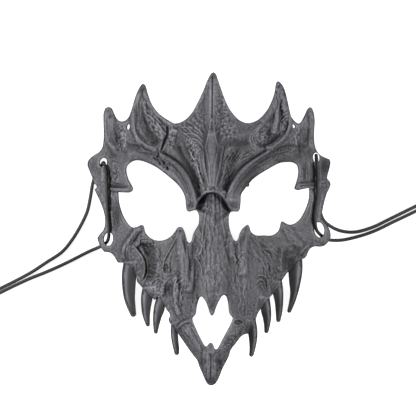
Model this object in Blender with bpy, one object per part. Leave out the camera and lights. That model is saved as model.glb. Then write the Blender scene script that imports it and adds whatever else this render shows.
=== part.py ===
"""Dragon mask: a thin moulded half mask with a horned crown, eye holes, an open mouth and fangs.

The mask lies on its back, face up. +Y runs from the chin to the crown, +X to the viewer's right, +Z out
of the face, and the surface that it lies on is z = 0. An elastic cord runs through two holes on each side.

Landmarks of the free form are in millimetres at the mask's real height, and grow with MASK_HEIGHT. The
depth of the face, the wall and the cord have sizes of their own.
"""

import math

import bmesh
import bpy
import numpy as np
from mathutils import Vector, geometry, kdtree

# Driving sizes, in metres.
MASK_HEIGHT = 0.180
FACE_DEPTH = 0.050
WALL = 0.0026
EDGE_ROUND = 0.0012
CORD_DIAMETER = 0.0020
CORD_GAP = 0.0003
CORD_TOLERANCE = 0.00015
KNOT_WIDTH = 0.0066
KNOT_LENGTH = 0.0075

# Shares that shape the fangs and the back.
FANG_FRONT = 0.62
FANG_BACK = 0.35
FANG_SWEEP_POWER = 1.6
CARVING_THROUGH = 0.85
LEAST_WALL = 0.0007

# How finely the solid is faceted, in landmark millimetres.
OUTLINE_TOLERANCE = 0.19
LONGEST_EDGE = 4.2
FACET_SPACING = 3.8
EDGE_INSETS = (1.0,)
ON_EDGE = 0.002

# Landmark millimetres to metres.
NOMINAL_HEIGHT = 180.0
UNIT = MASK_HEIGHT / NOMINAL_HEIGHT

MASK_COLOUR = (0.070, 0.073, 0.079, 1.0)
CORD_COLOUR = (0.022, 0.022, 0.025, 1.0)

# The face's height down the middle, as a share of FACE_DEPTH, against the landmark height.
PROFILE = [
    (-96, 0.47), (-90, 0.56), (-80, 0.70), (-70, 0.80), (-60, 0.88), (-50, 0.95), (-40, 1.00),
    (-30, 1.03), (-15, 1.03), (0, 1.00), (15, 1.00), (30, 0.99), (45, 0.91), (60, 0.80), (75, 0.66),
    (90, 0.50), (96, 0.43),
]
# Where the face's curve would reach the table on each side, against the landmark height.
LEFT_REACH = [
    (-96, 44), (-65, 48), (-50, 52), (-35, 57.5), (-25, 62), (-15, 68.5), (-5, 73), (5, 74), (20, 75),
    (30, 74.8), (38, 73.5), (45, 74), (55, 73), (70, 72), (96, 66),
]
RIGHT_REACH = [
    (-96, 44), (-65, 47), (-50, 50.5), (-35, 56.5), (-25, 61.5), (-15, 68), (-5, 73.5), (5, 73),
    (20, 72), (30, 70.8), (38, 68.8), (45, 69.5), (55, 68.5), (70, 67), (96, 62),
]
SIDE_POWER = 2.2

# The shell's outline without its fangs, clockwise from the crown. Each stretch is one smooth curve.
SHELL_OUTLINE = {
    "crown spike, right flank": [
        (0.2, 90.4), (1.6, 89.4), (3.0, 85.5), (4.9, 80), (6.7, 75), (9.2, 69.5), (12, 65.6),
        (15.3, 62.4), (20, 60.8), (25, 62.3), (28.5, 65.2), (31.5, 69.2), (34, 74.5), (35.4, 79),
        (36.2, 84.2),
    ],
    "right horn, outer flank": [
        (36.2, 84.2), (37.6, 85.3), (39.8, 83.5), (41.5, 80), (42.8, 75), (44.2, 68), (45.1, 64.6),
    ],
    "right valley": [(45.1, 64.6), (47.2, 62.2), (49.2, 60.9), (50.7, 61.7)],
    "right outer spike": [
        (50.7, 61.7), (52.5, 65), (54.9, 69.7), (56.2, 70.5), (57.3, 69.8), (58.5, 66.5), (58.9, 62),
        (58.5, 56), (58.7, 49.5), (60.2, 45), (62.8, 42.4), (66, 41), (67.6, 40.4),
    ],
    "right wing": [(67.6, 40.4), (68.2, 38.8), (67.6, 35), (66.4, 31), (66.2, 29.2)],
    "right strap": [
        (66.2, 29.2), (67.8, 27.3), (68.2, 25.7), (67.5, 23.6), (66, 20.6), (64.7, 16.5), (63.5, 11.5),
        (62.9, 7.2), (63.6, 4.8), (66.4, 1.6), (68, -2), (68.1, -5.2), (66.8, -7.5), (64.6, -9.6),
        (62, -10.3), (58.9, -10.1), (56.4, -11.1), (54.9, -13.3), (54, -15.5), (52.8, -16.9),
    ],
    "right gum over the first fang": [
        (52.8, -16.9), (50.5, -17.8), (47.5, -20), (44.6, -23.6), (42.4, -25.5),
    ],
    "right gum over the second fang": [
        (42.4, -25.5), (40.9, -27.7), (39.4, -29.9), (37.6, -33.4), (34.4, -37.3),
    ],
    "right gum over the third fang": [(34.4, -37.3), (32.6, -39.2), (30, -42.4), (27.1, -46.1)],
    "right gum over the fourth fang": [
        (27.1, -46.1), (25.6, -48.6), (24.7, -51.3), (23.6, -54.6), (21.6, -57.8), (20, -60),
    ],
    "right jaw": [
        (20, -60), (18.3, -60.2), (16.4, -61.3), (14.8, -63), (12.8, -65.8), (10.9, -68.1),
        (9.8, -70.2), (9.3, -72.3), (7.3, -76.5), (5.4, -80.2), (4, -84), (2.5, -87.2), (0.9, -89.3),
        (-1.2, -90),
    ],
    "left jaw": [
        (-1.2, -90), (-3.0, -89.2), (-4.6, -86.6), (-6.3, -82.5), (-8, -78.6), (-9, -75.4),
        (-11, -72.8), (-14.5, -68), (-17.2, -64), (-20, -60),
    ],
    "left gum over the fourth fang": [
        (-20, -60), (-21.3, -57.9), (-23, -55.6), (-24.6, -54.3), (-25.4, -52.6),
    ],
    "left jaw chip": [(-25.4, -52.6), (-25.4, -51), (-24.7, -50), (-24.8, -48.6), (-26.8, -46)],
    "left gum over the third fang": [
        (-26.8, -46), (-27.6, -44.2), (-28.9, -41.4), (-30.2, -39.3), (-31.5, -38.7), (-33.4, -40.8),
    ],
    "left gum over the second fang": [(-33.4, -40.8), (-36.2, -38.4), (-39, -35.4), (-40.8, -33.7)],
    "left gum over the first fang": [
        (-40.8, -33.7), (-42.3, -31.9), (-43.6, -30.6), (-44.3, -27.2), (-46, -22.8), (-48.7, -20.6),
        (-52, -19.5),
    ],
    "left cheek corner": [(-52, -19.5), (-55, -19.4)],
    "left cheek edge": [(-55, -19.4), (-56.4, -17), (-58, -14.7), (-60, -13.6), (-63, -13.3)],
    "left lug": [(-63, -13.3), (-65.3, -10.2), (-66.2, -8), (-67, -5.4)],
    "left strap": [
        (-67, -5.4), (-65.7, -3.2), (-63.4, -0.6), (-62.4, 3), (-62.6, 7.5), (-64, 12.6), (-66.3, 18),
        (-68.6, 22.9),
    ],
    "left notch": [(-68.6, 22.9), (-67.5, 23.7), (-67.4, 25), (-68.7, 26.2)],
    "left wing": [
        (-68.7, 26.2), (-69.9, 29.5), (-71.6, 33.5), (-72.8, 36.6), (-72.7, 38.7), (-71.4, 40.9),
        (-68.5, 43), (-65.6, 44.8), (-64.1, 47), (-63.4, 50.5), (-63.2, 56), (-63.4, 62), (-63.3, 67.3),
        (-62.4, 69.8),
    ],
    "left outer spike": [
        (-62.4, 69.8), (-60.6, 70.6), (-58.6, 69.8), (-57, 66.6), (-55.4, 63.6), (-53.4, 62.2),
        (-51, 62.4), (-48.8, 64.3), (-47, 68.6), (-45.8, 73), (-44.4, 77.4), (-42.9, 80.8), (-41.6, 83),
    ],
    "left horn, inner flank": [
        (-41.6, 83), (-40.4, 83.8), (-39, 82.9), (-37.8, 79.2), (-36.2, 74.3), (-34, 70), (-31, 66.4),
        (-28, 64), (-25, 62.1), (-22.2, 60.5),
    ],
    "crown spike, left flank": [
        (-22.2, 60.5), (-19, 61.1), (-15.5, 63.1), (-12.4, 66.4), (-9.8, 70.8), (-7.4, 75.7),
        (-5.2, 80.6), (-3.4, 85.3), (-1.3, 89.3), (0.2, 90.4),
    ],
}

# Openings through the shell, each drawn as stretches that are one smooth curve.
LEFT_EYE = {
    "brow": [
        (-54.4, 21.2), (-50.5, 21), (-47.4, 21.2), (-45.9, 22.8), (-46.5, 24.9), (-48.4, 28.3),
        (-49.6, 32.2), (-49.6, 35.7), (-47.7, 38), (-44.8, 39.4), (-41.5, 39.3), (-37.5, 38),
        (-33, 35.8), (-28.8, 32.9), (-24.5, 29.4), (-20.4, 25.7), (-17.5, 21.8), (-16, 18),
        (-15.6, 14.5), (-15.3, 11.6),
    ],
    "brow end": [(-15.3, 11.6), (-14.6, 10.3), (-13, 10.1), (-11.3, 10.7), (-9.7, 10.8)],
    "nose": [(-9.7, 10.8), (-8.5, 9.2), (-8, 5.5), (-8.6, 2.3), (-10.3, -0.5), (-11.6, -3.4),
        (-12.3, -6.6)],
    "tear slot": [(-12.3, -6.6), (-13.5, -7.7), (-14.6, -6.8), (-15.4, -4.2), (-16.4, -1), (-17.4, 0.9)],
    "lower lid": [
        (-17.4, 0.9), (-18.7, 1.4), (-20.2, 0.9), (-21.6, -1), (-23.6, -3.6), (-27, -5.8), (-31, -6.6),
        (-34.6, -5.7), (-37.6, -3.5), (-39, -1.3), (-39.4, 0.9), (-40, 2.2),
    ],
    "cheek": [
        (-40, 2.2), (-41.2, 2.5), (-43.5, 1.4), (-46.2, 1), (-48.4, 2.7), (-50.8, 6.3), (-52.8, 11),
        (-54, 15.8), (-54.4, 21.2),
    ],
}
RIGHT_EYE = {
    "brow": [
        (55.3, 23.7), (52, 23.1), (48.4, 22.4), (46.8, 23.3), (47.5, 26), (48.7, 30), (49, 34.3),
        (48.2, 36.9), (45.8, 38.3), (42.3, 38.5), (38.5, 38), (34.3, 36), (29.8, 33.4), (25.4, 30.6),
        (22.6, 28.4), (20.7, 26.2),
    ],
    "burr": [(20.7, 26.2), (20.7, 24.9), (20, 24.2), (19.2, 24.4)],
    "brow end": [(19.2, 24.4), (17.6, 22.3), (16.1, 19.9), (15.8, 15.5), (15.4, 11.7)],
    "nose": [
        (15.4, 11.7), (14.5, 10.2), (12, 10.1), (10.2, 9.8), (9.2, 7.8), (9, 4.5), (9.3, 1.4),
        (10.3, -2.4), (11.8, -5.9),
    ],
    "tear slot": [(11.8, -5.9), (13.2, -6.7), (14.2, -5.5), (15, -2.8), (16.6, 0.2), (18.6, 2.1)],
    "lower lid": [
        (18.6, 2.1), (19.9, 2.6), (20.8, 1.4), (21.4, -0.9), (22.9, -2.6), (25.4, -3.6), (29, -3.5),
        (33.2, -3.6), (35.9, -2.4), (37.6, -0.6), (38.4, 2), (38.9, 4.2),
    ],
    "cheek": [
        (38.9, 4.2), (40, 4.5), (42, 3.3), (44.5, 2.6), (48, 4), (51, 7.4), (53.5, 12.4), (55, 17),
        (55.4, 20.6), (55.3, 23.7),
    ],
}
MOUTH = {
    "upper tooth": [
        (-6.6, -38.3), (-5.3, -39.6), (-3.8, -42), (-2.7, -45.3), (-1.8, -48.1), (-0.7, -49.3),
        (0.4, -48.5), (1.3, -45.9), (2.4, -42.9), (3.8, -40.1), (5, -38.2), (6.2, -37.4),
    ],
    "right lip": [(6.2, -37.4), (7.5, -38.3), (8.3, -40.8), (8.8, -44.3), (9.1, -47.5), (9.9, -49.1)],
    "right corner": [(9.9, -49.1), (11.1, -50.6), (10.4, -53.2), (8.8, -56.5), (6.9, -60),
        (4.9, -63.8), (3.1, -67.4)],
    "chin nib": [
        (3.1, -67.4), (2.2, -68.6), (1.3, -68.7), (0.6, -67.4), (-0.1, -65.6), (-1.2, -64.9),
        (-2.4, -65.3), (-3.2, -66.5), (-4.2, -67), (-5.2, -66),
    ],
    "left corner": [(-5.2, -66), (-8, -60.6), (-10, -56.2), (-11.4, -52.7), (-11.7, -50.9), (-10.9, -49.7)],
    "left lip": [(-10.9, -49.7), (-9.9, -48.5), (-9.4, -45), (-8.5, -41.2), (-7.6, -39), (-6.6, -38.3)],
}
# Oval holes: centre, half width, half height and lean in degrees.
CORD_HOLES = {
    "left upper": ((-63.3, 38.4), 2.1, 2.7, -12.0),
    "left lower": ((-60.3, -5.8), 2.6, 3.9, -9.0),
    "right upper": ((59.7, 41.1), 1.9, 3.0, 6.0),
    "right lower": ((61.4, -0.5), 2.9, 4.4, 8.0),
}
VENT_HOLES = {
    "left vent": ((-48.7, 58.8), 0.65, 1.6, -8.0),
    "right vent": ((46.5, 59.2), 0.55, 1.1, 22.0),
}

# Fangs: (x, y, half width) stations from root to tip, how far the root is set back, and the tip's height
# over the table.
FANGS = {
    "left first": (
        [(-48, -18.5, 3.6), (-48.4, -26, 4.3), (-48.7, -33, 4.0), (-48.4, -40, 3.3), (-47.4, -45, 2.6),
            (-46.3, -49.3, 1.8)],
        2.8, -0.4,
    ),
    "left second": (
        [(-37.6, -33, 2.8), (-38.1, -39, 3.4), (-38.6, -45, 2.85), (-38.5, -50, 2.2),
            (-37.7, -55.2, 1.25)], 2.3, 11.5,
    ),
    "left third": (
        [(-30.2, -39, 2.2), (-30.8, -45, 3.2), (-32, -50, 2.6), (-32.7, -55, 1.85),
            (-33, -59.3, 1.15)], 2.1, 18.0,
    ),
    "left fourth": (
        [(-22.3, -53, 1.7), (-22.2, -60, 2.1), (-21.7, -65, 1.95), (-21.1, -69, 1.7),
            (-20.9, -71.2, 1.4)], 1.6, 24.0,
    ),
    "right first": (
        [(48, -15, 3.4), (47.6, -23, 4.2), (47.4, -30, 3.6), (47, -37, 2.4), (45.7, -43, 1.75),
            (44.3, -47.5, 1.25)],
        2.8, -0.4,
    ),
    "right second": (
        [(37, -29.5, 2.7), (37.4, -36, 3.1), (38.05, -42, 2.5), (38.1, -48, 2.0),
            (37.8, -52.6, 1.35)], 2.2, 11.5,
    ),
    "right third": (
        [(29.8, -38.5, 2.6), (30.4, -46, 3.05), (31.1, -51, 2.5), (31.1, -56, 1.7),
            (30.8, -58.9, 1.3)], 2.1, 18.0,
    ),
    "right fourth": (
        [(22.6, -52, 2.0), (22.8, -58.5, 2.75), (23, -63, 2.45), (22.7, -68.5, 1.75),
            (22.1, -72.2, 1.35)], 1.8, 24.0,
    ),
}

# Carving that follows a line: points, half width, rise. A rise below zero is a groove.
RIDGES = {
    "crown keel": ([(0, 89), (-0.3, 74), (-0.4, 58)], 5.0, 1.9),
    "forehead lozenge": ([(-0.5, 58), (-0.7, 47), (-0.4, 34), (-0.6, 22)], 3.4, 2.4),
    "left brow": (
        [(-52, 43.5), (-44, 43.5), (-36, 41.5), (-29, 38), (-23, 33), (-18, 26.5), (-14.3, 19),
            (-12.6, 12)], 5.4, 3.2,
    ),
    "right brow": (
        [(51, 43), (44, 43), (37, 41.5), (30, 38), (24, 34), (18.6, 29.5), (13.6, 22.5),
            (12, 12)], 5.6, 3.2,
    ),
    "left horn, outer rim": (
        [(-42, 81), (-45, 72), (-46, 64), (-45, 57), (-42, 51.5), (-37, 48), (-31.5, 45.3)], 2.4, 2.0,
    ),
    "left horn, inner rim": ([(-39.5, 81), (-36.6, 73.5), (-32, 67), (-26.5, 62.4),
        (-22.5, 59.5)], 2.2, 1.5),
    "right horn, inner rim": (
        [(37.8, 82), (35.4, 74), (32, 66), (27, 60.6), (22.6, 57), (20.6, 53.2), (22.6, 48.6),
            (25.4, 45.8)], 2.4, 1.7,
    ),
    "right horn, outer rim": ([(39.4, 81), (42.5, 72), (43.8, 63), (42.4, 56), (38, 50.5),
        (32, 45.6)], 2.4, 1.8),
    "right horn, middle bar": ([(38, 79), (36.7, 70), (35.8, 61), (34, 54)], 2.2, 1.7),
    "left outer spike ridge": ([(-61.5, 69), (-62, 60), (-61, 52.5), (-58, 47), (-55.3, 42.5)], 2.6, 1.9),
    "right outer spike ridge": ([(56.6, 69), (57.6, 60), (57, 51), (58, 45)], 2.6, 1.7),
    "left temple blade": ([(-63, 25), (-57, 24), (-51, 23), (-46.8, 22.8)], 2.6, 1.9),
    "right temple blade": ([(63, 26), (57, 25.2), (52, 24.4), (47.6, 24)], 2.6, 1.9),
    "nose": ([(0.4, 19), (0.6, 5), (0.5, -12), (0, -30), (-0.5, -47)], 8.5, 3.4),
    "left nostril": ([(-8.6, 1), (-7, -5), (-6.8, -10), (-8.6, -15)], 2.6, 1.0),
    "right nostril": ([(10, 0), (9.6, -6), (9.8, -12), (11.4, -17)], 2.6, 1.0),
    "left tear ridge": ([(-18.6, 0), (-18, -10), (-16.6, -22), (-15.6, -34)], 3.4, 2.3),
    "right tear ridge": ([(19.6, 1.5), (17.6, -7), (17, -17), (17.4, -28)], 3.4, 1.7),
    "left cheek bone": ([(-41, 2), (-45.6, -3.5), (-49.4, -9), (-51.2, -15)], 2.8, 1.8),
    "right cheek bone": ([(39.6, 4), (43, -1), (47, -6), (51, -11.5)], 3.2, 1.5),
    "right cheek fold": ([(40.5, -9), (39, -17), (38.4, -25)], 3.0, 1.5),
    "left jaw cord": ([(-21.6, -26), (-21.8, -34), (-21.2, -44), (-19, -50)], 1.9, 1.2),
    "left jaw arm": ([(-15.4, -54.5), (-12.6, -61), (-8.4, -69), (-4, -77)], 4.0, 1.7),
    "right jaw arm": ([(13.6, -55), (10, -62), (6, -69.5), (2.6, -77)], 4.0, 1.7),
    "chin keel": ([(-1.3, -66), (-1.4, -76), (-1.2, -88.5)], 5.2, 3.0),
    "left horn crack": ([(-26.2, 59), (-25.9, 55.4), (-26.9, 51.6), (-28.6, 48), (-29.8, 45)], 1.1, -1.6),
}
# Dished places: centre, half length, half width, lean of the length in degrees from +X, depth.
HOLLOWS = {
    "left horn bowl": ((-38.4, 63), 17, 6.4, 118, 2.6),
    "left horn foot": ((-34, 53.5), 9, 5, 150, 1.6),
    "right horn bowl": ((30, 53), 10, 6, 32, 2.3),
    "right horn groove": ((40.3, 64), 13, 2.6, 97, 1.7),
    "left outer spike bowl": ((-55.5, 53), 9, 4.6, 105, 2.2),
    "right outer spike bowl": ((51.6, 52), 9, 4.6, 78, 2.0),
    "left forehead": ((-10.6, 38), 15, 4.6, 112, 2.6),
    "right forehead": ((9.6, 37), 14, 4.8, 66, 2.6),
    "left temple panel": ((-57, 32), 6, 3.6, 90, 1.5),
    "right temple panel": ((53.6, 33), 6, 3.6, 90, 1.3),
    "left lid hollow": ((-38, -11), 6.5, 4.2, 160, 2.0),
    "left cheek pore": ((-26.8, -22.6), 4.2, 1.9, 84, 1.5),
    "left jaw hollow": ((-27, -36), 7, 2.6, 80, 1.7),
    "left cheek pit": ((-32, -30), 7, 5, 130, 0.9),
    "right cheek hollow": ((29, -14), 9, 5, 130, 1.3),
    "right jaw hollow": ((28.4, -33), 7, 4, 110, 1.2),
    "left nose side": ((-13.2, -20), 16, 2.2, 88, 1.3),
    "right nose side": ((13.6, -13), 11, 2.0, 96, 1.2),
}
# Edges where one form overlaps the next: points with the low side on the left, the step's depth and reach.
SHELF_STEP = 0.9
SHELF_BACK_LEAD = 1.6
SHELVES = {
    "nose hood": ([(12, 9.5), (9.6, 12.5), (6.4, 18), (2.6, 21), (-1, 21.6), (-5, 20.3), (-8.4, 16.6),
        (-11, 10.5)], 3.4, 17),
    "left brow crest": (
        [(-31, 44), (-25, 40.8), (-18.8, 36), (-13.6, 28.5), (-10.6, 20), (-9.4, 13)], 2.2, 9,
    ),
    "right brow crest": (
        [(8.6, 20), (11, 26), (14.8, 32), (20, 37.2), (26, 41.2), (33, 45.6)], 2.2, 9,
    ),
    "left cheek plate": ([(-45, -9.8), (-41, -15.2), (-39, -19.5), (-39.2, -25), (-41.2, -29.8)], 1.9, 8),
}

# Each cord's route: from its knot along the upper strand, through the upper hole from behind, down the
# front of the strap, back through the lower hole, and along the lower strand to the knot. x and y are
# landmark places, and z is the height over the table.
CORD_ROUTES = {
    "left": [
        (-136.2, -41.0, 3.0), (-130, -37.9, 1.5), (-123, -34.4, 1.1), (-114, -29.9, 1.1),
        (-105.2, -25.1, 1.1), (-96.4, -19.3, 1.1), (-87.6, -13.4, 1.1), (-81.7, -6.3, 1.1),
        (-76.4, 2.5, 1.1), (-72.9, 10.2, 1.1), (-71.1, 18.4, 1.1), (-70.3, 23.5, 1.3), (-69.3, 28, 1.9),
        (-67.8, 31.4, 2.9), (-66, 34.6, 4.0), (-64.4, 37.0, 6.4), (-63.5, 38.3, 10.2),
        (-63.0, 38.0, 13.4), (-62.5, 36.6, 16.3), (-62, 34.4, 18.0), (-61.5, 30, 19.8),
        (-61.2, 25, 21.8), (-61.1, 19.4, 20.8), (-60.9, 12, 20.3), (-60.4, 5, 20.2), (-60, 0.6, 20.5),
        (-60, -2.2, 19.4), (-60.2, -4.4, 16.0), (-60.7, -6.3, 12.0), (-61.8, -8.0, 7.8),
        (-63.8, -9.5, 4.2), (-67.0, -11.0, 1.8), (-72.9, -13.6, 1.1), (-81.7, -18.1, 1.1),
        (-90.5, -22.3, 1.1), (-99.3, -26.1, 1.1), (-105.2, -28.4, 1.1), (-114, -32.4, 1.1),
        (-123, -36.8, 1.1), (-129, -39.9, 1.5), (-135.0, -43.1, 3.0),
    ],
    "right": [
        (129.4, 18.6, 3.0), (123.5, 15.9, 1.5), (117, 12.8, 1.1), (110.5, 9.6, 1.1), (105.2, 7.0, 1.1),
        (100.2, 4.5, 1.1), (94.3, 1.6, 1.1), (88.5, -0.5, 1.1), (83.1, -1.8, 1.1), (78.5, -1.9, 1.1),
        (72.6, -0.7, 1.2), (67.6, 1.9, 2.2), (64.2, 4.9, 3.9), (62.4, 9.0, 6.0), (61.2, 15, 8.0),
        (60.6, 22, 8.8), (60.4, 29, 7.7), (60.2, 34.2, 6.4), (60.0, 38.0, 6.0), (59.9, 39.8, 6.4),
        (59.8, 41.3, 7.4), (59.7, 42.3, 8.9), (59.7, 42.6, 10.6), (59.7, 42.3, 12.3), (59.8, 41.3, 13.8),
        (59.9, 39.8, 14.8), (60.1, 37.8, 15.3), (60.3, 34, 15.7), (60.4, 29, 17.8), (60.4, 24.6, 19.7),
        (60.2, 18, 19.0), (59.2, 11.2, 20.2), (58.8, 7.2, 21.2), (58.8, 4.6, 21.4), (59.0, 2.4, 20.9),
        (59.3, 0.6, 19.4), (59.9, -0.8, 17.0), (60.7, -1.9, 14.2), (61.5, -2.8, 11.4), (62.5, -3.6, 8.4),
        (64.3, -5.0, 4.6), (68.0, -6.5, 1.7), (75, -6.5, 1.1), (82.6, -4.9, 1.1), (88.5, -3.2, 1.1),
        (94.3, -1.0, 1.1), (100.2, 1.8, 1.1), (105.2, 4.3, 1.1), (111.6, 7.3, 1.1), (118, 10.4, 1.1),
        (124.5, 13.6, 1.5), (130.4, 16.4, 3.0),
    ],
}


def smooth_table(table, at):
    """A smooth curve through (place, value) pairs, read at the places."""
    places = np.array([row[0] for row in table], float)
    values = np.array([row[1] for row in table], float)
    slopes = np.gradient(values, places)
    at = np.clip(at, places[0], places[-1])
    i = np.clip(np.searchsorted(places, at) - 1, 0, len(places) - 2)
    span = places[i + 1] - places[i]
    t = (at - places[i]) / span
    start = (1 + 2 * t) * (1 - t) ** 2 * values[i] + t * (1 - t) ** 2 * span * slopes[i]
    end = t * t * (3 - 2 * t) * values[i + 1] + t * t * (t - 1) * span * slopes[i + 1]
    return start + end


def smooth_step(t):
    """0 before 0, 1 after 1, and smooth between."""
    t = np.clip(t, 0.0, 1.0)
    return t * t * (3 - 2 * t)


def curve_through(points, step):
    """Points about step apart on the centripetal Catmull-Rom curve through the given ones."""
    points = np.array(points, float)
    padded = np.vstack([2 * points[0] - points[1], points, 2 * points[-1] - points[-2]])
    made = [points[:1]]
    for a, b, c, d in zip(padded, padded[1:], padded[2:], padded[3:]):
        knots = np.cumsum([0] + [np.linalg.norm(q - p) ** 0.5 for p, q in ((a, b), (b, c), (c, d))])
        count = max(2, math.ceil(np.linalg.norm(c - b) / step))
        t = np.linspace(knots[1], knots[2], count + 1)[1:, None]
        ab, bc, cd = (
            ((knots[k + 1] - t) * p + (t - knots[k]) * q) / (knots[k + 1] - knots[k])
            for k, (p, q) in enumerate(((a, b), (b, c), (c, d)))
        )
        early = ((knots[2] - t) * ab + (t - knots[0]) * bc) / (knots[2] - knots[0])
        late = ((knots[3] - t) * bc + (t - knots[1]) * cd) / (knots[3] - knots[1])
        made.append(((knots[2] - t) * early + (t - knots[1]) * late) / (knots[2] - knots[1]))
    return np.vstack(made)


def thinned(line, tolerance, longest):
    """The line with only the points that keep it within tolerance, no two further apart than longest."""
    keep = {0, len(line) - 1}
    spans = [(0, len(line) - 1)]
    while spans:
        first, last = spans.pop()
        if last - first < 2:
            continue
        chord = line[last] - line[first]
        length = np.linalg.norm(chord)
        rest = line[first + 1 : last] - line[first]
        along = rest @ chord / length**2
        away = np.linalg.norm(rest - along[:, None] * chord, axis=1)
        far = first + 1 + int(away.argmax())
        if away.max() > tolerance or length > longest:
            middle = far if away.max() > tolerance else (first + last) // 2
            keep.add(middle)
            spans += [(first, middle), (middle, last)]
    return line[sorted(keep)]


def closed_loop(stretches, tolerance, longest):
    """One closed outline from its stretches, without its last point, which is its first."""
    fine_step = 0.25
    lines = [thinned(curve_through(points, fine_step), tolerance, longest) for points in stretches.values()]
    return np.vstack([line[:-1] for line in lines])


def oval_loop(centre, half_width, half_height, lean, longest):
    """An oval hole's outline."""
    count = max(10, math.ceil(2 * math.pi * max(half_width, half_height) / longest))
    turn = np.linspace(0, 2 * math.pi, count, endpoint=False)
    c, s = math.cos(math.radians(lean)), math.sin(math.radians(lean))
    across, up = half_width * np.cos(turn), half_height * np.sin(turn)
    return np.stack([centre[0] + across * c - up * s, centre[1] + across * s + up * c], axis=1)


def fang_loop(stations, tolerance, longest):
    """A fang's outline: down one side of its middle line, round the tip and up the other side."""
    line = curve_through(stations, 0.4)
    along = np.gradient(line[:, :2], axis=0)
    along /= np.linalg.norm(along, axis=1)[:, None]
    across = np.stack([-along[:, 1], along[:, 0]], axis=1)
    left = line[:, :2] + across * line[:, 2:]
    right = line[:, :2] - across * line[:, 2:]
    turn = np.linspace(math.pi / 2, -math.pi / 2, 9)[1:-1, None]
    tip = line[-1, :2] + line[-1, 2] * (np.sin(turn) * across[-1] + np.cos(turn) * along[-1])
    return np.vstack([thinned(line, tolerance, longest) for line in (left, tip, right[::-1])])


def nearest_on(line, x, y):
    """(distance, side, share of the length) of each point against a line; side is above 0 on its left."""
    start, chord = line[:-1, :2], np.diff(line[:, :2], axis=0)
    lengths = np.linalg.norm(chord, axis=1)
    dx, dy = x[:, None] - start[:, 0], y[:, None] - start[:, 1]
    t = np.clip((dx * chord[:, 0] + dy * chord[:, 1]) / lengths**2, 0, 1)
    away = np.hypot(dx - t * chord[:, 0], dy - t * chord[:, 1])
    i = away.argmin(axis=1)
    row = np.arange(len(x))
    side = chord[i, 0] * dy[row, i] - chord[i, 1] * dx[row, i]
    share = (np.concatenate([[0], np.cumsum(lengths)])[i] + t[row, i] * lengths[i]) / lengths.sum()
    return away[row, i], np.sign(side), share


def near_box(line, x, y, margin):
    """Which points lie in the line's box grown by margin."""
    low, high = line[:, :2].min(axis=0) - margin, line[:, :2].max(axis=0) + margin
    return (x > low[0]) & (x < high[0]) & (y > low[1]) & (y < high[1])


def ends_fade(share, length, fade):
    """1 along a carved line, falling to 0 over the fade distance at both ends."""
    return smooth_step(share * length / fade) * smooth_step((1 - share) * length / fade)


def ridge(x, y, points, half_width, rise):
    """A rounded crest, or with a negative rise a groove, along the points."""
    line = curve_through(points, 2.0)
    made = np.zeros_like(x)
    near = near_box(line, x, y, half_width)
    away, _, share = nearest_on(line, x[near], y[near])
    length = np.linalg.norm(np.diff(line, axis=0), axis=1).sum()
    bell = np.clip(1 - (away / half_width) ** 2, 0, 1) ** 1.5
    made[near] = rise * bell * (0.25 + 0.75 * ends_fade(share, length, half_width))
    return made


def hollow(x, y, centre, half_length, half_width, lean, depth):
    """An oval dish."""
    c, s = math.cos(math.radians(lean)), math.sin(math.radians(lean))
    dx, dy = x - centre[0], y - centre[1]
    r2 = ((dx * c + dy * s) / half_length) ** 2 + ((dy * c - dx * s) / half_width) ** 2
    return -depth * np.clip(1 - r2, 0, 1) ** 1.5


def shelf(x, y, points, depth, reach, lead):
    """A step down on the left of the line, which rises back to the surface over the reach."""
    line = curve_through(points, 2.0)
    made = np.zeros_like(x)
    near = near_box(line, x, y, reach)
    away, side, share = nearest_on(line, x[near], y[near])
    signed = away * side + lead
    length = np.linalg.norm(np.diff(line, axis=0), axis=1).sum()
    drop = smooth_step(signed / SHELF_STEP) * (1 - smooth_step(signed / reach))
    made[near] = -depth * drop * ends_fade(share, length, 3.0)
    return made


def face_curve(x, y):
    """The face's plain curved height over the table, in metres, at landmark places."""
    reach = np.where(x < 0, smooth_table(LEFT_REACH, y), smooth_table(RIGHT_REACH, y))
    return FACE_DEPTH * smooth_table(PROFILE, y) * (1 - (np.abs(x) / reach) ** SIDE_POWER)


def carving(x, y, lead=0.0):
    """The height that the carved forms add to the face's curve, in metres. Steps start the lead early."""
    made = sum(ridge(x, y, *values) for values in RIDGES.values())
    made = made + sum(hollow(x, y, *values) for values in HOLLOWS.values())
    made = made + sum(shelf(x, y, *values, lead) for values in SHELVES.values())
    return made * UNIT


def upright_wall(x, y):
    """The wall's thickness measured along Z, which grows as the face turns away."""
    d = 0.5
    slope_x = (face_curve(x + d, y) - face_curve(x - d, y)) / (2 * d * UNIT)
    slope_y = (face_curve(x, y + d) - face_curve(x, y - d)) / (2 * d * UNIT)
    return WALL * np.sqrt(1 + slope_x**2 + slope_y**2)


def edge_round(away):
    """0 at an edge, rising as a quarter circle to 1 at EDGE_ROUND from it."""
    inward = np.clip(away * UNIT / EDGE_ROUND, 0, 1)
    return np.sqrt(np.clip(1 - (1 - inward) ** 2, 0, 1))


def inside_loop(loop, x, y):
    """Which points lie inside a closed outline."""
    inside = np.zeros(len(x), bool)
    for (ax, ay), (bx, by) in zip(loop, np.roll(loop, -1, axis=0)):
        if ay != by:
            inside ^= ((ay > y) != (by > y)) & (x < (bx - ax) * (y - ay) / (by - ay) + ax)
    return inside


def edge_tree(loops):
    """A tree of closely spaced points on the loops, for distances to an edge."""
    spacing = 0.12
    points = []
    for loop in loops:
        for a, b in zip(loop, np.roll(loop, -1, axis=0)):
            count = max(1, math.ceil(np.linalg.norm(b - a) / spacing))
            points += [a + (b - a) * k / count for k in range(count)]
    tree = kdtree.KDTree(len(points))
    for i, point in enumerate(points):
        tree.insert((*point, 0), i)
    tree.balance()
    return tree


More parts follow.
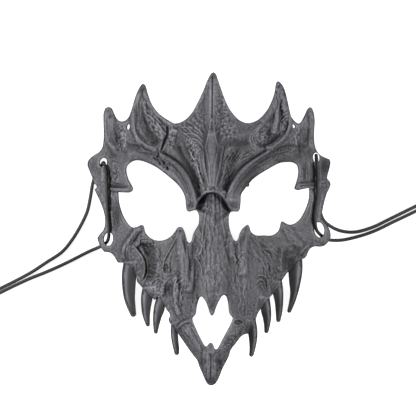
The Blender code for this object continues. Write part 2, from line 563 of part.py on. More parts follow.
def edge_distance(tree, x, y):
    """Each point's distance to the loops of an edge tree."""
    return np.array([tree.find((px, py, 0))[2] for px, py in zip(x, y)])


class Outline:
    """The mask seen from the front: the shell, its openings and its fangs, as closed loops."""

    def __init__(self, tolerance, longest):
        self.shell = closed_loop(SHELL_OUTLINE, tolerance, longest)
        self.holes = [closed_loop(opening, tolerance, longest) for opening in (LEFT_EYE, RIGHT_EYE, MOUTH)]
        self.holes += [oval_loop(*oval, longest) for oval in [*CORD_HOLES.values(), *VENT_HOLES.values()]]
        self.fangs = {name: fang_loop(values[0], tolerance, longest) for name, values in FANGS.items()}
        self.loops = [self.shell, *self.holes, *self.fangs.values()]
        self.shell_tree = edge_tree([self.shell, *self.holes])
        self.all_tree = edge_tree(self.loops)
        corners = np.vstack(self.loops)
        self.middle = (corners.min(axis=0) + corners.max(axis=0)) / 2

    def in_shell(self, x, y):
        """Which points lie in the shell."""
        inside = inside_loop(self.shell, x, y)
        for hole in self.holes:
            inside &= ~inside_loop(hole, x, y)
        return inside

    def well_inside(self, points, insets):
        """The points that lie in the mask, and not between an edge and the first inset."""
        points = points[self.in_mask(points[:, 0], points[:, 1])]
        return points[edge_distance(self.all_tree, points[:, 0], points[:, 1]) > 0.85 * insets[0]]

    def in_mask(self, x, y):
        """Which points lie in the shell or in a fang."""
        inside = self.in_shell(x, y)
        for fang in self.fangs.values():
            inside |= inside_loop(fang, x, y)
        return inside


def fang_heights(outline, name, x, y):
    """(which points lie in the fang, its front height, its back height, distance to its edge)."""
    stations, set_back, tip_height = FANGS[name]
    line = curve_through(stations, 0.4)
    loop = outline.fangs[name]
    near = np.flatnonzero(near_box(loop, x, y, ON_EDGE))
    x, y = x[near], y[near]
    to_edge = nearest_on(np.vstack([loop, loop[:1]]), x, y)[0]
    inside = inside_loop(loop, x, y) | (to_edge < ON_EDGE)
    near, x, y = near[inside], x[inside], y[inside]
    away, _, share = nearest_on(line, x, y)
    lengths = np.concatenate([[0], np.cumsum(np.linalg.norm(np.diff(line[:, :2], axis=0), axis=1))])
    width = np.interp(share * lengths[-1], lengths, line[:, 2])
    tip = line[-1:, 0], line[-1:, 1]
    tip_drop = face_curve(*tip) - upright_wall(*tip) / 2 - (set_back + tip_height) * UNIT
    middle = face_curve(x, y) - upright_wall(x, y) / 2 - set_back * UNIT - tip_drop * share**FANG_SWEEP_POWER
    dome = width * np.sqrt(np.clip(1 - (away / width) ** 2, 0, 1)) * UNIT
    return near, middle + FANG_FRONT * dome, middle - FANG_BACK * dome, np.clip(width - away, 0, None)


def mask_heights(outline, x, y, on_border):
    """(front height, back height) of the mask at landmark places, in metres. They are one on the border."""
    edge = edge_distance(outline.shell_tree, x, y)
    in_shell = outline.in_shell(x, y) | (edge < ON_EDGE)
    face = face_curve(x, y)
    front = face + carving(x, y)
    back = face + CARVING_THROUGH * carving(x, y, SHELF_BACK_LEAD) - upright_wall(x, y)
    middle, half = (front + back) / 2, (front - back) / 2 * edge_round(edge)
    front = np.where(in_shell, middle + half, -np.inf)
    back = np.where(in_shell, middle - half, np.inf)
    edge = np.where(in_shell, edge, 0)
    for name in FANGS:
        at, fang_front, fang_back, fang_edge = fang_heights(outline, name, x, y)
        front[at] = np.maximum(front[at], fang_front)
        back[at] = np.minimum(back[at], fang_back)
        edge[at] = np.maximum(edge[at], fang_edge)
    back = np.maximum(np.where(on_border, (front + back) / 2, back), 0)
    front = np.where(on_border, back, np.maximum(front, back + LEAST_WALL * edge_round(edge)))
    return front, back


def lattice(low, high, spacing):
    """A field of points in staggered rows."""
    rows = np.arange(low[1], high[1], spacing * math.sqrt(3) / 2)
    columns = np.arange(low[0], high[0], spacing)
    x = np.concatenate([columns + (k % 2) * spacing / 2 for k in range(len(rows))])
    return np.stack([x, np.repeat(rows, len(columns))], axis=1)


def inset_points(loops, inset):
    """Points set in from each loop's corners, on both its sides."""
    made = []
    for loop in loops:
        along = np.roll(loop, -1, axis=0) - np.roll(loop, 1, axis=0)
        along /= np.maximum(np.linalg.norm(along, axis=1), 1e-9)[:, None]
        across = np.stack([-along[:, 1], along[:, 0]], axis=1)
        made += [loop + across * inset, loop - across * inset]
    return np.vstack(made)


def spread_out(points, apart, fixed):
    """The fixed points, and those of the others that are not too near an earlier one."""
    cells, kept = {}, [tuple(point) for point in fixed]
    for x, y in kept:
        cells.setdefault((math.floor(x / apart), math.floor(y / apart)), []).append((x, y))
    for x, y in points:
        column, row = math.floor(x / apart), math.floor(y / apart)
        around = [q for i in (-1, 0, 1) for j in (-1, 0, 1) for q in cells.get((column + i, row + j), ())]
        if all((x - q[0]) ** 2 + (y - q[1]) ** 2 >= apart**2 for q in around):
            cells.setdefault((column, row), []).append((x, y))
            kept.append((x, y))
    return np.array(kept)


def edge_counts(triangles):
    """(the edges of a flat set of triangles, how many triangles use each)."""
    ends = np.concatenate([triangles[:, [0, 1]], triangles[:, [1, 2]], triangles[:, [2, 0]]])
    return np.unique(np.sort(ends, axis=1), axis=0, return_counts=True)


def flat_facets(outline, spacing, insets, guides):
    """(points, triangles, which points are on the border) of the mask seen from the front.

    No inner edge joins two border points, so a front and a back on these facets meet at the border alone."""
    corners = np.vstack(outline.loops)
    edges, first = [], 0
    for loop in outline.loops:
        edges += [(first + k, first + (k + 1) % len(loop)) for k in range(len(loop))]
        first += len(loop)
    rings = [inset_points(outline.loops, inset) for inset in insets]
    field = np.vstack([*rings, lattice(corners.min(axis=0), corners.max(axis=0), spacing)])
    inner = spread_out(outline.well_inside(field, insets), 0.5 * spacing, outline.well_inside(guides, insets))
    while True:
        points = [Vector(point) for point in np.vstack([corners, inner])]
        made = geometry.delaunay_2d_cdt(points, edges, [], 0, 1e-5, False)
        flat, triangles = np.array([tuple(point) for point in made[0]]), np.array(made[2])
        middles = flat[triangles].mean(axis=1)
        triangles = triangles[outline.in_mask(middles[:, 0], middles[:, 1])]
        ends, uses = edge_counts(triangles)
        on_border = np.zeros(len(flat), bool)
        on_border[ends[uses == 1]] = True
        chords = ends[(uses == 2) & on_border[ends].all(axis=1)]
        if not len(chords):
            return flat, triangles, on_border
        inner = np.vstack([inner, flat[chords].mean(axis=1)])


def carving_guides(spacing):
    """Points along each crest, and along the top and the foot of each step, in front and behind."""
    made = [curve_through(values[0], spacing) for values in RIDGES.values()]
    for points, _, _ in SHELVES.values():
        line = curve_through(points, spacing)
        along = np.gradient(line, axis=0)
        along /= np.linalg.norm(along, axis=1)[:, None]
        left = np.stack([-along[:, 1], along[:, 0]], axis=1)
        made += [line + left * offset for offset in (SHELF_STEP, 0, -SHELF_BACK_LEAD)]
    return np.vstack(made)


def mask_mesh(outline, spacing, insets):
    """(points in metres, triangles) of the closed mask. Its front and back share one set of facets."""
    flat, triangles, on_border = flat_facets(outline, spacing, insets, carving_guides(spacing))
    front, back = mask_heights(outline, flat[:, 0], flat[:, 1], on_border)
    behind = np.where(on_border, np.arange(len(flat)), np.arange(len(flat)) + len(flat))
    points = np.vstack([np.column_stack([flat, front]), np.column_stack([flat, back])])
    points[:, :2] = (points[:, :2] - outline.middle) * UNIT
    used, triangles = np.unique(np.vstack([triangles, behind[triangles][:, ::-1]]), return_inverse=True)
    return points[used], triangles.reshape(-1, 3)


def plain_material(name, colour, roughness):
    """A Principled BSDF with one colour."""
    material = bpy.data.materials.new(name)
    material.use_nodes = True
    shader = material.node_tree.nodes["Principled BSDF"]
    shader.inputs["Base Color"].default_value = colour
    shader.inputs["Roughness"].default_value = roughness
    return material


def add_object(name, data, material):
    """Put a mesh or a curve in the scene as one named object."""
    data.materials.append(material)
    made = bpy.data.objects.new(name, data)
    bpy.context.collection.objects.link(made)
    return made


def build_mask():
    """The moulded mask, one closed body."""
    outline = Outline(OUTLINE_TOLERANCE, LONGEST_EDGE)
    points, triangles = mask_mesh(outline, FACET_SPACING, EDGE_INSETS)
    mesh = bpy.data.meshes.new("mask")
    mesh.from_pydata(points.tolist(), [], triangles.tolist())
    mesh.shade_smooth()
    mesh.set_sharp_from_angle(angle=math.radians(50))
    add_object("mask", mesh, plain_material("moulded plastic", MASK_COLOUR, 0.5))
    return outline.middle


def place(route, middle):
    """A route's points in metres, with the mask's middle at the origin."""
    points = np.array(route, float) * UNIT
    points[:, :2] -= middle * UNIT
    return points


def build_cord(side, route):
    """One elastic cord, a plain tube along its route."""
    line = thinned(curve_through(route, CORD_DIAMETER / 5), CORD_TOLERANCE, 3 * CORD_DIAMETER)
    curve = bpy.data.curves.new(f"{side}_cord", "CURVE")
    curve.dimensions = "3D"
    curve.bevel_depth = CORD_DIAMETER / 2
    curve.bevel_resolution = 2
    curve.use_fill_caps = True
    spline = curve.splines.new("POLY")
    spline.points.add(len(line) - 1)
    spline.points.foreach_set("co", np.column_stack([line, np.ones(len(line))]).ravel())
    spline.use_smooth = True
    add_object(f"{side}_cord", curve, plain_material(f"{side} elastic", CORD_COLOUR, 0.8))


def build_knot(side, route):
    """The knot that joins a cord's two ends, as a small barrel that lies on the table."""
    ends = (route[0] + route[-1]) / 2
    before = (route[1] + route[-2]) / 2
    turn = math.atan2(ends[1] - before[1], ends[0] - before[0])
    profile = [(0.0, 0.0), (0.0, 0.76), (0.12, 0.95), (0.5, 1.0), (0.88, 0.95), (1.0, 0.76), (1.0, 0.0)]
    around = 12
    mesh = bmesh.new()
    rings = []
    for along, width in profile[1:-1]:
        turns = [2 * math.pi * (k + 0.5) / around for k in range(around)]
        rings.append([
            mesh.verts.new((
                along * KNOT_LENGTH,
                width * KNOT_WIDTH / 2 * math.cos(angle),
                width * KNOT_WIDTH / 2 * math.sin(angle),
            ))
            for angle in turns
        ])
    for ring, following in zip(rings, rings[1:]):
        for k in range(around):
            n = (k + 1) % around
            mesh.faces.new((ring[k], ring[n], following[n], following[k]))
    mesh.faces.new(rings[0][::-1])
    mesh.faces.new(rings[-1])
    data = bpy.data.meshes.new(f"{side}_knot")
    bmesh.ops.recalc_face_normals(mesh, faces=mesh.faces)
    mesh.to_mesh(data)
    mesh.free()
    knot = add_object(f"{side}_knot", data, plain_material(f"{side} knot", CORD_COLOUR, 0.8))
    knot.rotation_euler.z = turn
    knot.location = (
        ends[0] + CORD_GAP * math.cos(turn),
        ends[1] + CORD_GAP * math.sin(turn),
        KNOT_WIDTH / 2,
    )


for old in list(bpy.data.objects):
    bpy.data.objects.remove(old, do_unlink=True)

mask_middle = build_mask()
for side, landmarks in CORD_ROUTES.items():
    cord_route = place(landmarks, mask_middle)
    build_cord(side, cord_route)
    build_knot(side, cord_route)
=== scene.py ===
"""Looks of the dragon mask: a moulded dark grey plastic half mask, lying face up on a pale floor.

The camera looks straight down on the face. Landmarks of the free form are in millimetres at the mask's
real height, x to the viewer's right and y towards the crown, as on the CAD model.
"""

import math

import bpy
import numpy as np
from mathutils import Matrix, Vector, geometry, kdtree, noise


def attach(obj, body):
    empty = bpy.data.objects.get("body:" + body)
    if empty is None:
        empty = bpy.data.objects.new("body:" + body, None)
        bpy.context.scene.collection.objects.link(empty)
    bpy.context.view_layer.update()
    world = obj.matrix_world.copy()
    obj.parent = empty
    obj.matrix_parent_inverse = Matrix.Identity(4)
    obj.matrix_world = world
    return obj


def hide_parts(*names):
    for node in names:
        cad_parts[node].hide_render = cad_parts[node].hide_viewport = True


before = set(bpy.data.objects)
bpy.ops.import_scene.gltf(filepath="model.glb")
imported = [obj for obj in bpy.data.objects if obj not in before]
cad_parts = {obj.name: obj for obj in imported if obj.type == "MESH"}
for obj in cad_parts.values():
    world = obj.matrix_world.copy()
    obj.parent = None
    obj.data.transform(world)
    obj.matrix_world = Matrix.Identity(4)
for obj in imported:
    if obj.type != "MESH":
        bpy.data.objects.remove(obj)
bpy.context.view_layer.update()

# Sizes of the CAD model, in metres.
MASK_HEIGHT = 0.180
FACE_DEPTH = 0.050
WALL = 0.0026
EDGE_ROUND = 0.0012
CORD_DIAMETER = 0.0020
CORD_GAP = 0.0003
KNOT_WIDTH = 0.0066
KNOT_LENGTH = 0.0075
LEAST_WALL = 0.0007
# Its shares: a fang's front and back dome, how its sweep grows, and how much carving reaches the back.
FANG_FRONT = 0.62
FANG_BACK = 0.35
FANG_SWEEP_POWER = 1.6
CARVING_THROUGH = 0.85

# Landmark millimetres to metres.
NOMINAL_HEIGHT = 180.0
UNIT = MASK_HEIGHT / NOMINAL_HEIGHT
# The middle of the CAD outline in landmark places, which is the frame's origin.
MASK_MIDDLE = np.array([-2.32, 0.2])

# How finely the visible mask is faceted, in landmark millimetres: the outline, and the facets' spacing with
# the insets of the rings of points that follow each edge.
OUTLINE_TOLERANCE = 0.02
LONGEST_EDGE = 0.7
FRONT_FACETS = 0.44, (0.14, 0.4, 0.75, 1.15)
BACK_FACETS = 1.0, (0.25, 0.75)
ON_EDGE = 0.002
# How finely curves are sampled: an outline's, a broad form's, a fine form's and a fang's middle line.
OUTLINE_STEP, BROAD_STEP, FINE_STEP, FANG_STEP = 0.25, 2.0, 0.8, 0.4

# The photograph's frame: its size in pixels, the pixel at the landmarks' origin, and a pixel's size.
PHOTO_WIDTH, PHOTO_HEIGHT = 416, 400
LANDMARK_ORIGIN_PIXEL = (213.0, 229.0)
MASK_PIXELS = 312
PIXEL = MASK_HEIGHT / MASK_PIXELS
CAMERA_HEIGHT = 3.0
# The height over the table at which the landmarks were read.
SIGHT_HEIGHT = 0.018
SENSOR_WIDTH = 36.0


def add_object(name, data):
    """A new object in the scene."""
    made = bpy.data.objects.new(name, data)
    bpy.context.collection.objects.link(made)
    return made


def add_camera():
    """A camera straight above the mask that frames what the photograph frames."""
    data = bpy.data.cameras.new("camera")
    data.sensor_width = SENSOR_WIDTH
    data.lens = SENSOR_WIDTH * (CAMERA_HEIGHT - SIGHT_HEIGHT) / (PHOTO_WIDTH * PIXEL)
    data.clip_end = 4 * CAMERA_HEIGHT
    camera = add_object("camera", data)
    across = (PHOTO_WIDTH / 2 - LANDMARK_ORIGIN_PIXEL[0]) * PIXEL - MASK_MIDDLE[0] * UNIT
    up = (LANDMARK_ORIGIN_PIXEL[1] - PHOTO_HEIGHT / 2) * PIXEL - MASK_MIDDLE[1] * UNIT
    camera.location = (across, up, CAMERA_HEIGHT)
    bpy.context.scene.camera = camera


add_camera()


# Each cord's route: from its knot along the upper strand, through the upper hole, down the front of the
# strap, through the lower hole, and along the lower strand to the knot. x and y are landmark places, and z
# is the height over the table.
CORD_ROUTES = {
    "left": [(-136.2, -41.0, 3.0), (-130, -37.9, 1.5), (-123, -34.4, 1.1), (-114, -29.9, 1.1),
        (-105.2, -25.1, 1.1), (-96.4, -19.3, 1.1), (-87.6, -13.4, 1.1), (-81.7, -6.3, 1.1),
        (-76.4, 2.5, 1.1), (-72.9, 10.2, 1.1), (-71.1, 18.4, 1.1), (-70.3, 23.5, 1.3), (-69.3, 28, 1.9),
        (-67.8, 31.4, 2.9), (-66, 34.6, 4.0), (-64.4, 37.0, 6.4), (-63.5, 38.3, 10.2), (-63.0, 38.0, 13.4),
        (-62.5, 36.6, 16.3), (-62, 34.4, 18.0), (-61.5, 30, 19.8), (-61.2, 25, 21.8), (-61.1, 19.4, 20.8),
        (-60.9, 12, 20.3), (-60.4, 5, 20.2), (-60, 0.6, 20.5), (-60, -2.2, 19.4), (-60.2, -4.4, 16.0),
        (-60.7, -6.3, 12.0), (-61.8, -8.0, 7.8), (-63.8, -9.5, 4.2), (-67.0, -11.0, 1.8),
        (-72.9, -13.6, 1.1), (-81.7, -18.1, 1.1), (-90.5, -22.3, 1.1), (-99.3, -26.1, 1.1),
        (-105.2, -28.4, 1.1), (-114, -32.4, 1.1), (-123, -36.8, 1.1), (-129, -39.9, 1.5),
        (-135.0, -43.1, 3.0)],
    "right": [(129.4, 18.6, 3.0), (123.5, 15.9, 1.5), (117, 12.8, 1.1), (110.5, 9.6, 1.1),
        (105.2, 7.0, 1.1), (100.2, 4.5, 1.1), (94.3, 1.6, 1.1), (88.5, -0.5, 1.1), (83.1, -1.8, 1.1),
        (78.5, -1.9, 1.1), (72.6, -0.7, 1.2), (67.6, 1.9, 2.2), (64.2, 4.9, 3.9), (62.4, 9.0, 6.0),
        (61.2, 15, 8.0), (60.6, 22, 8.8), (60.4, 29, 7.7), (60.2, 34.2, 6.4), (60.0, 38.0, 6.0),
        (59.9, 39.8, 6.4), (59.8, 41.3, 7.4), (59.7, 42.3, 8.9), (59.7, 42.6, 10.6), (59.7, 42.3, 12.3),
        (59.8, 41.3, 13.8), (59.9, 39.8, 14.8), (60.1, 37.8, 15.3), (60.3, 34, 15.7), (60.4, 29, 17.8),
        (60.4, 24.6, 19.7), (60.2, 18, 19.0), (59.2, 11.2, 20.2), (58.8, 7.2, 21.2), (58.8, 4.6, 21.4),
        (59.0, 2.4, 20.9), (59.3, 0.6, 19.4), (59.9, -0.8, 17.0), (60.7, -1.9, 14.2), (61.5, -2.8, 11.4),
        (62.5, -3.6, 8.4), (64.3, -5.0, 4.6), (68.0, -6.5, 1.7), (75, -6.5, 1.1), (82.6, -4.9, 1.1),
        (88.5, -3.2, 1.1), (94.3, -1.0, 1.1), (100.2, 1.8, 1.1), (105.2, 4.3, 1.1), (111.6, 7.3, 1.1),
        (118, 10.4, 1.1), (124.5, 13.6, 1.5), (130.4, 16.4, 3.0)],
}
# How exactly a cord's polyline keeps to its curve, in metres, and its longest piece in diameters.
CORD_TOLERANCE = 0.00004
CORD_LONGEST_PIECE = 1.2
# A tied knot's strand as a share of the cord, which is pulled thin, and its points.
STRAND_SHARE = 0.42
KNOT_POINTS = 72


def smooth_table(table, at):
    """A smooth curve through (place, value) pairs, read at the places."""
    places, values = np.array(table, float).T
    slopes = np.gradient(values, places)
    at = np.clip(at, places[0], places[-1])
    i = np.clip(np.searchsorted(places, at) - 1, 0, len(places) - 2)
    span = places[i + 1] - places[i]
    t = (at - places[i]) / span
    start = (1 + 2 * t) * (1 - t) ** 2 * values[i] + t * (1 - t) ** 2 * span * slopes[i]
    end = t * t * (3 - 2 * t) * values[i + 1] + t * t * (t - 1) * span * slopes[i + 1]
    return start + end


def smooth_step(t):
    """0 before 0, 1 after 1, and smooth between."""
    t = np.clip(t, 0.0, 1.0)
    return t * t * (3 - 2 * t)


def curve_through(points, step):
    """Points about step apart on the centripetal Catmull-Rom curve through the given ones."""
    points = np.array(points, float)
    padded = np.vstack([2 * points[0] - points[1], points, 2 * points[-1] - points[-2]])
    made = [points[:1]]
    for a, b, c, d in zip(padded, padded[1:], padded[2:], padded[3:]):
        knots = np.cumsum([0] + [np.linalg.norm(q - p) ** 0.5 for p, q in ((a, b), (b, c), (c, d))])
        count = max(2, math.ceil(np.linalg.norm(c - b) / step))
        t = np.linspace(knots[1], knots[2], count + 1)[1:, None]
        ab, bc, cd = (
            ((knots[k + 1] - t) * p + (t - knots[k]) * q) / (knots[k + 1] - knots[k])
            for k, (p, q) in enumerate(((a, b), (b, c), (c, d)))
        )
        early = ((knots[2] - t) * ab + (t - knots[0]) * bc) / (knots[2] - knots[0])
        late = ((knots[3] - t) * bc + (t - knots[1]) * cd) / (knots[3] - knots[1])
        made.append(((knots[2] - t) * early + (t - knots[1]) * late) / (knots[2] - knots[1]))
    return np.vstack(made)


def thinned(line, tolerance, longest):
    """The line with only the points that keep it within tolerance, no two further apart than longest."""
    keep = {0, len(line) - 1}
    spans = [(0, len(line) - 1)]
    while spans:
        first, last = spans.pop()
        if last - first < 2:
            continue
        chord = line[last] - line[first]
        length = np.linalg.norm(chord)
        rest = line[first + 1 : last] - line[first]
        along = rest @ chord / length**2
        away = np.linalg.norm(rest - along[:, None] * chord, axis=1)
        if away.max() > tolerance or length > longest:
            middle = first + 1 + int(away.argmax()) if away.max() > tolerance else (first + last) // 2
            keep.add(middle)
            spans += [(first, middle), (middle, last)]
    return line[sorted(keep)]


def line_lengths(line):
    """How far along the line each of its points is."""
    return np.concatenate([[0], np.cumsum(np.linalg.norm(np.diff(line, axis=0), axis=1))])


def place(route):
    """A route's landmark points in metres, in the frame."""
    points = np.array(route, float) * UNIT
    points[:, :2] -= MASK_MIDDLE * UNIT
    return points


def new_material(name):
    """(material, its nodes, its links, its shader)."""
    material = bpy.data.materials.new(name)
    material.use_nodes = True
    tree = material.node_tree
    return material, tree.nodes, tree.links, tree.nodes["Principled BSDF"]


def set_inputs(node, **values):
    """Set a node's own sockets. An underscore in a name stands for a space."""
    for name, value in values.items():
        node.inputs[name.replace("_", " ")].default_value = value


def add_bump(nodes, links, height, shader, distance):
    """A bump node from a height socket to the shader."""
    bump = nodes.new("ShaderNodeBump")
    bump.inputs["Distance"].default_value = distance
    links.new(height, bump.inputs["Height"])
    links.new(bump.outputs["Normal"], shader.inputs["Normal"])
    return bump


def elastic_material():
    """A matte black elastic, with a braided cover drawn by slanting waves along the cord."""
    material, nodes, links, shader = new_material("elastic")
    where = nodes.new("ShaderNodeTexCoord").outputs["Object"]
    weave = nodes.new("ShaderNodeTexWave")
    weave.wave_type = "BANDS"
    weave.bands_direction = "DIAGONAL"
    set_inputs(weave, Scale=420, Distortion=1.2, Detail=1.0)
    links.new(where, weave.inputs["Vector"])
    tone = nodes.new("ShaderNodeValToRGB")
    tone.color_ramp.elements[0].color = (0.014, 0.014, 0.015, 1)
    tone.color_ramp.elements[1].color = (0.040, 0.040, 0.043, 1)
    links.new(weave.outputs["Fac"], tone.inputs["Fac"])
    links.new(tone.outputs["Color"], shader.inputs["Base Color"])
    set_inputs(add_bump(nodes, links, weave.outputs["Fac"], shader, 0.0002), Strength=0.5)
    set_inputs(shader, Roughness=0.72)
    return material


def add_tube(name, points, diameter, material):
    """A round cord along the points, as a curve."""
    curve = bpy.data.curves.new(name, "CURVE")
    curve.dimensions = "3D"
    curve.bevel_depth = diameter / 2
    curve.bevel_resolution = 4
    curve.use_fill_caps = True
    spline = curve.splines.new("POLY")
    spline.points.add(len(points) - 1)
    spline.points.foreach_set("co", np.column_stack([points, np.ones(len(points))]).ravel())
    spline.use_smooth = True
    curve.materials.append(material)
    return add_object(name, curve)


def add_cord(side, route, material):
    """One elastic cord, doubled from its knot through both holes of its side, with the knot on its ends."""
    line = place(route)
    curve = curve_through(line, CORD_DIAMETER / 6)
    points = thinned(curve, CORD_TOLERANCE, CORD_LONGEST_PIECE * CORD_DIAMETER)
    cord = add_tube(f"{side}_elastic", points, CORD_DIAMETER, material)
    knot = add_knot(side, line, material)
    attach(cord, "root")
    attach(knot, "root")
    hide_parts(f"{side}_cord")
    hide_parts(f"{side}_knot")


def add_knot(side, line, material):
    """The tied knot on a cord's two ends: a trefoil of the same cord, pulled tight."""
    ends, before = (line[0] + line[-1]) / 2, (line[1] + line[-2]) / 2
    turn = math.atan2(ends[1] - before[1], ends[0] - before[0])
    strand = STRAND_SHARE * CORD_DIAMETER
    t = np.linspace(0, 2 * math.pi, KNOT_POINTS, endpoint=False)
    reach = np.stack([
        np.sin(2 * t + 0.3) * 0.9 + np.sin(t) * 0.55,
        np.sin(t) + 2 * np.sin(2 * t),
        -np.sin(3 * t) * 1.3,
    ], axis=1)
    reach /= np.abs(reach).max(axis=0)
    half = np.array([KNOT_LENGTH / 2, KNOT_WIDTH / 2, KNOT_WIDTH / 2]) - 1.05 * strand
    x, y, z = (reach * half + np.array([KNOT_LENGTH / 2 + CORD_GAP, 0, 0])).T
    c, s = math.cos(turn), math.sin(turn)
    points = np.stack([x * c - y * s + ends[0], x * s + y * c + ends[1], z + KNOT_WIDTH / 2], axis=1)
    knot = add_tube(f"{side}_tied_knot", points, 2 * strand, material)
    knot.data.splines[0].use_cyclic_u = True
    return knot


elastic = elastic_material()
for side, landmarks in CORD_ROUTES.items():
    add_cord(side, landmarks, elastic)


# The face's height down the middle, as a share of FACE_DEPTH, against the landmark height.
PROFILE = [
    (-96, 0.47), (-90, 0.56), (-80, 0.70), (-70, 0.80), (-60, 0.88), (-50, 0.95), (-40, 1.00), (-30, 1.03),
    (-15, 1.03), (0, 1.00), (15, 1.00), (30, 0.99), (45, 0.91), (60, 0.80), (75, 0.66), (90, 0.50),
    (96, 0.43),
]
# Where the face's curve would reach the table on each side, against the landmark height.
LEFT_REACH = [
    (-96, 44), (-65, 48), (-50, 52), (-35, 57.5), (-25, 62), (-15, 68.5), (-5, 73), (5, 74), (20, 75),
    (30, 74.8), (38, 73.5), (45, 74), (55, 73), (70, 72), (96, 66),
]
RIGHT_REACH = [
    (-96, 44), (-65, 47), (-50, 50.5), (-35, 56.5), (-25, 61.5), (-15, 68), (-5, 73.5), (5, 73), (20, 72),
    (30, 70.8), (38, 68.8), (45, 69.5), (55, 68.5), (70, 67), (96, 62),
]
SIDE_POWER = 2.2

# The shell's outline without its fangs, clockwise from the crown. Each stretch is one smooth curve, and
# runs on to the next one's first point.
SHELL_OUTLINE = {
    "crown spike, right flank": [(0.2, 90.4), (1.6, 89.4), (3.0, 85.5), (4.9, 80), (6.7, 75), (9.2, 69.5),
        (12, 65.6), (15.3, 62.4), (20, 60.8), (25, 62.3), (28.5, 65.2), (31.5, 69.2), (34, 74.5),
        (35.4, 79)],
    "right horn, outer flank": [(36.2, 84.2), (37.6, 85.3), (39.8, 83.5), (41.5, 80), (42.8, 75),
        (44.2, 68)],
    "right valley": [(45.1, 64.6), (47.2, 62.2), (49.2, 60.9)],
    "right outer spike": [(50.7, 61.7), (52.5, 65), (54.9, 69.7), (56.2, 70.5), (57.3, 69.8), (58.5, 66.5),
        (58.9, 62), (58.5, 56), (58.7, 49.5), (60.2, 45), (62.8, 42.4), (66, 41)],
    "right wing": [(67.6, 40.4), (68.2, 38.8), (67.6, 35), (66.4, 31)],
    "right strap": [(66.2, 29.2), (67.8, 27.3), (68.2, 25.7), (67.5, 23.6), (66, 20.6), (64.7, 16.5),
        (63.5, 11.5), (62.9, 7.2), (63.6, 4.8), (66.4, 1.6), (68, -2), (68.1, -5.2), (66.8, -7.5),
        (64.6, -9.6), (62, -10.3), (58.9, -10.1), (56.4, -11.1), (54.9, -13.3), (54, -15.5)],
    "right gum over the first fang": [(52.8, -16.9), (50.5, -17.8), (47.5, -20), (44.6, -23.6)],
    "right gum over the second fang": [(42.4, -25.5), (40.9, -27.7), (39.4, -29.9), (37.6, -33.4)],
    "right gum over the third fang": [(34.4, -37.3), (32.6, -39.2), (30, -42.4)],
    "right gum over the fourth fang": [(27.1, -46.1), (25.6, -48.6), (24.7, -51.3), (23.6, -54.6),
        (21.6, -57.8)],
    "right jaw": [(20, -60), (18.3, -60.2), (16.4, -61.3), (14.8, -63), (12.8, -65.8), (10.9, -68.1),
        (9.8, -70.2), (9.3, -72.3), (7.3, -76.5), (5.4, -80.2), (4, -84), (2.5, -87.2), (0.9, -89.3)],
    "left jaw": [(-1.2, -90), (-3.0, -89.2), (-4.6, -86.6), (-6.3, -82.5), (-8, -78.6), (-9, -75.4),
        (-11, -72.8), (-14.5, -68), (-17.2, -64)],
    "left gum over the fourth fang": [(-20, -60), (-21.3, -57.9), (-23, -55.6), (-24.6, -54.3)],
    "left jaw chip": [(-25.4, -52.6), (-25.4, -51), (-24.7, -50), (-24.8, -48.6)],
    "left gum over the third fang": [(-26.8, -46), (-27.6, -44.2), (-28.9, -41.4), (-30.2, -39.3),
        (-31.5, -38.7)],
    "left gum over the second fang": [(-33.4, -40.8), (-36.2, -38.4), (-39, -35.4)],
    "left gum over the first fang": [(-40.8, -33.7), (-42.3, -31.9), (-43.6, -30.6), (-44.3, -27.2),
        (-46, -22.8), (-48.7, -20.6)],
    "left cheek corner": [(-52, -19.5)],
    "left cheek edge": [(-55, -19.4), (-56.4, -17), (-58, -14.7), (-60, -13.6)],
    "left lug": [(-63, -13.3), (-65.3, -10.2), (-66.2, -8)],
    "left strap": [(-67, -5.4), (-65.7, -3.2), (-63.4, -0.6), (-62.4, 3), (-62.6, 7.5), (-64, 12.6),
        (-66.3, 18)],
    "left notch": [(-68.6, 22.9), (-67.5, 23.7), (-67.4, 25)],
    "left wing": [(-68.7, 26.2), (-69.9, 29.5), (-71.6, 33.5), (-72.8, 36.6), (-72.7, 38.7), (-71.4, 40.9),
        (-68.5, 43), (-65.6, 44.8), (-64.1, 47), (-63.4, 50.5), (-63.2, 56), (-63.4, 62), (-63.3, 67.3)],
    "left outer spike": [(-62.4, 69.8), (-60.6, 70.6), (-58.6, 69.8), (-57, 66.6), (-55.4, 63.6),
        (-53.4, 62.2), (-51, 62.4), (-48.8, 64.3), (-47, 68.6), (-45.8, 73), (-44.4, 77.4), (-42.9, 80.8)],
    "left horn, inner flank": [(-41.6, 83), (-40.4, 83.8), (-39, 82.9), (-37.8, 79.2), (-36.2, 74.3),
        (-34, 70), (-31, 66.4), (-28, 64), (-25, 62.1)],
    "crown spike, left flank": [(-22.2, 60.5), (-19, 61.1), (-15.5, 63.1), (-12.4, 66.4), (-9.8, 70.8),
        (-7.4, 75.7), (-5.2, 80.6), (-3.4, 85.3), (-1.3, 89.3)],
}

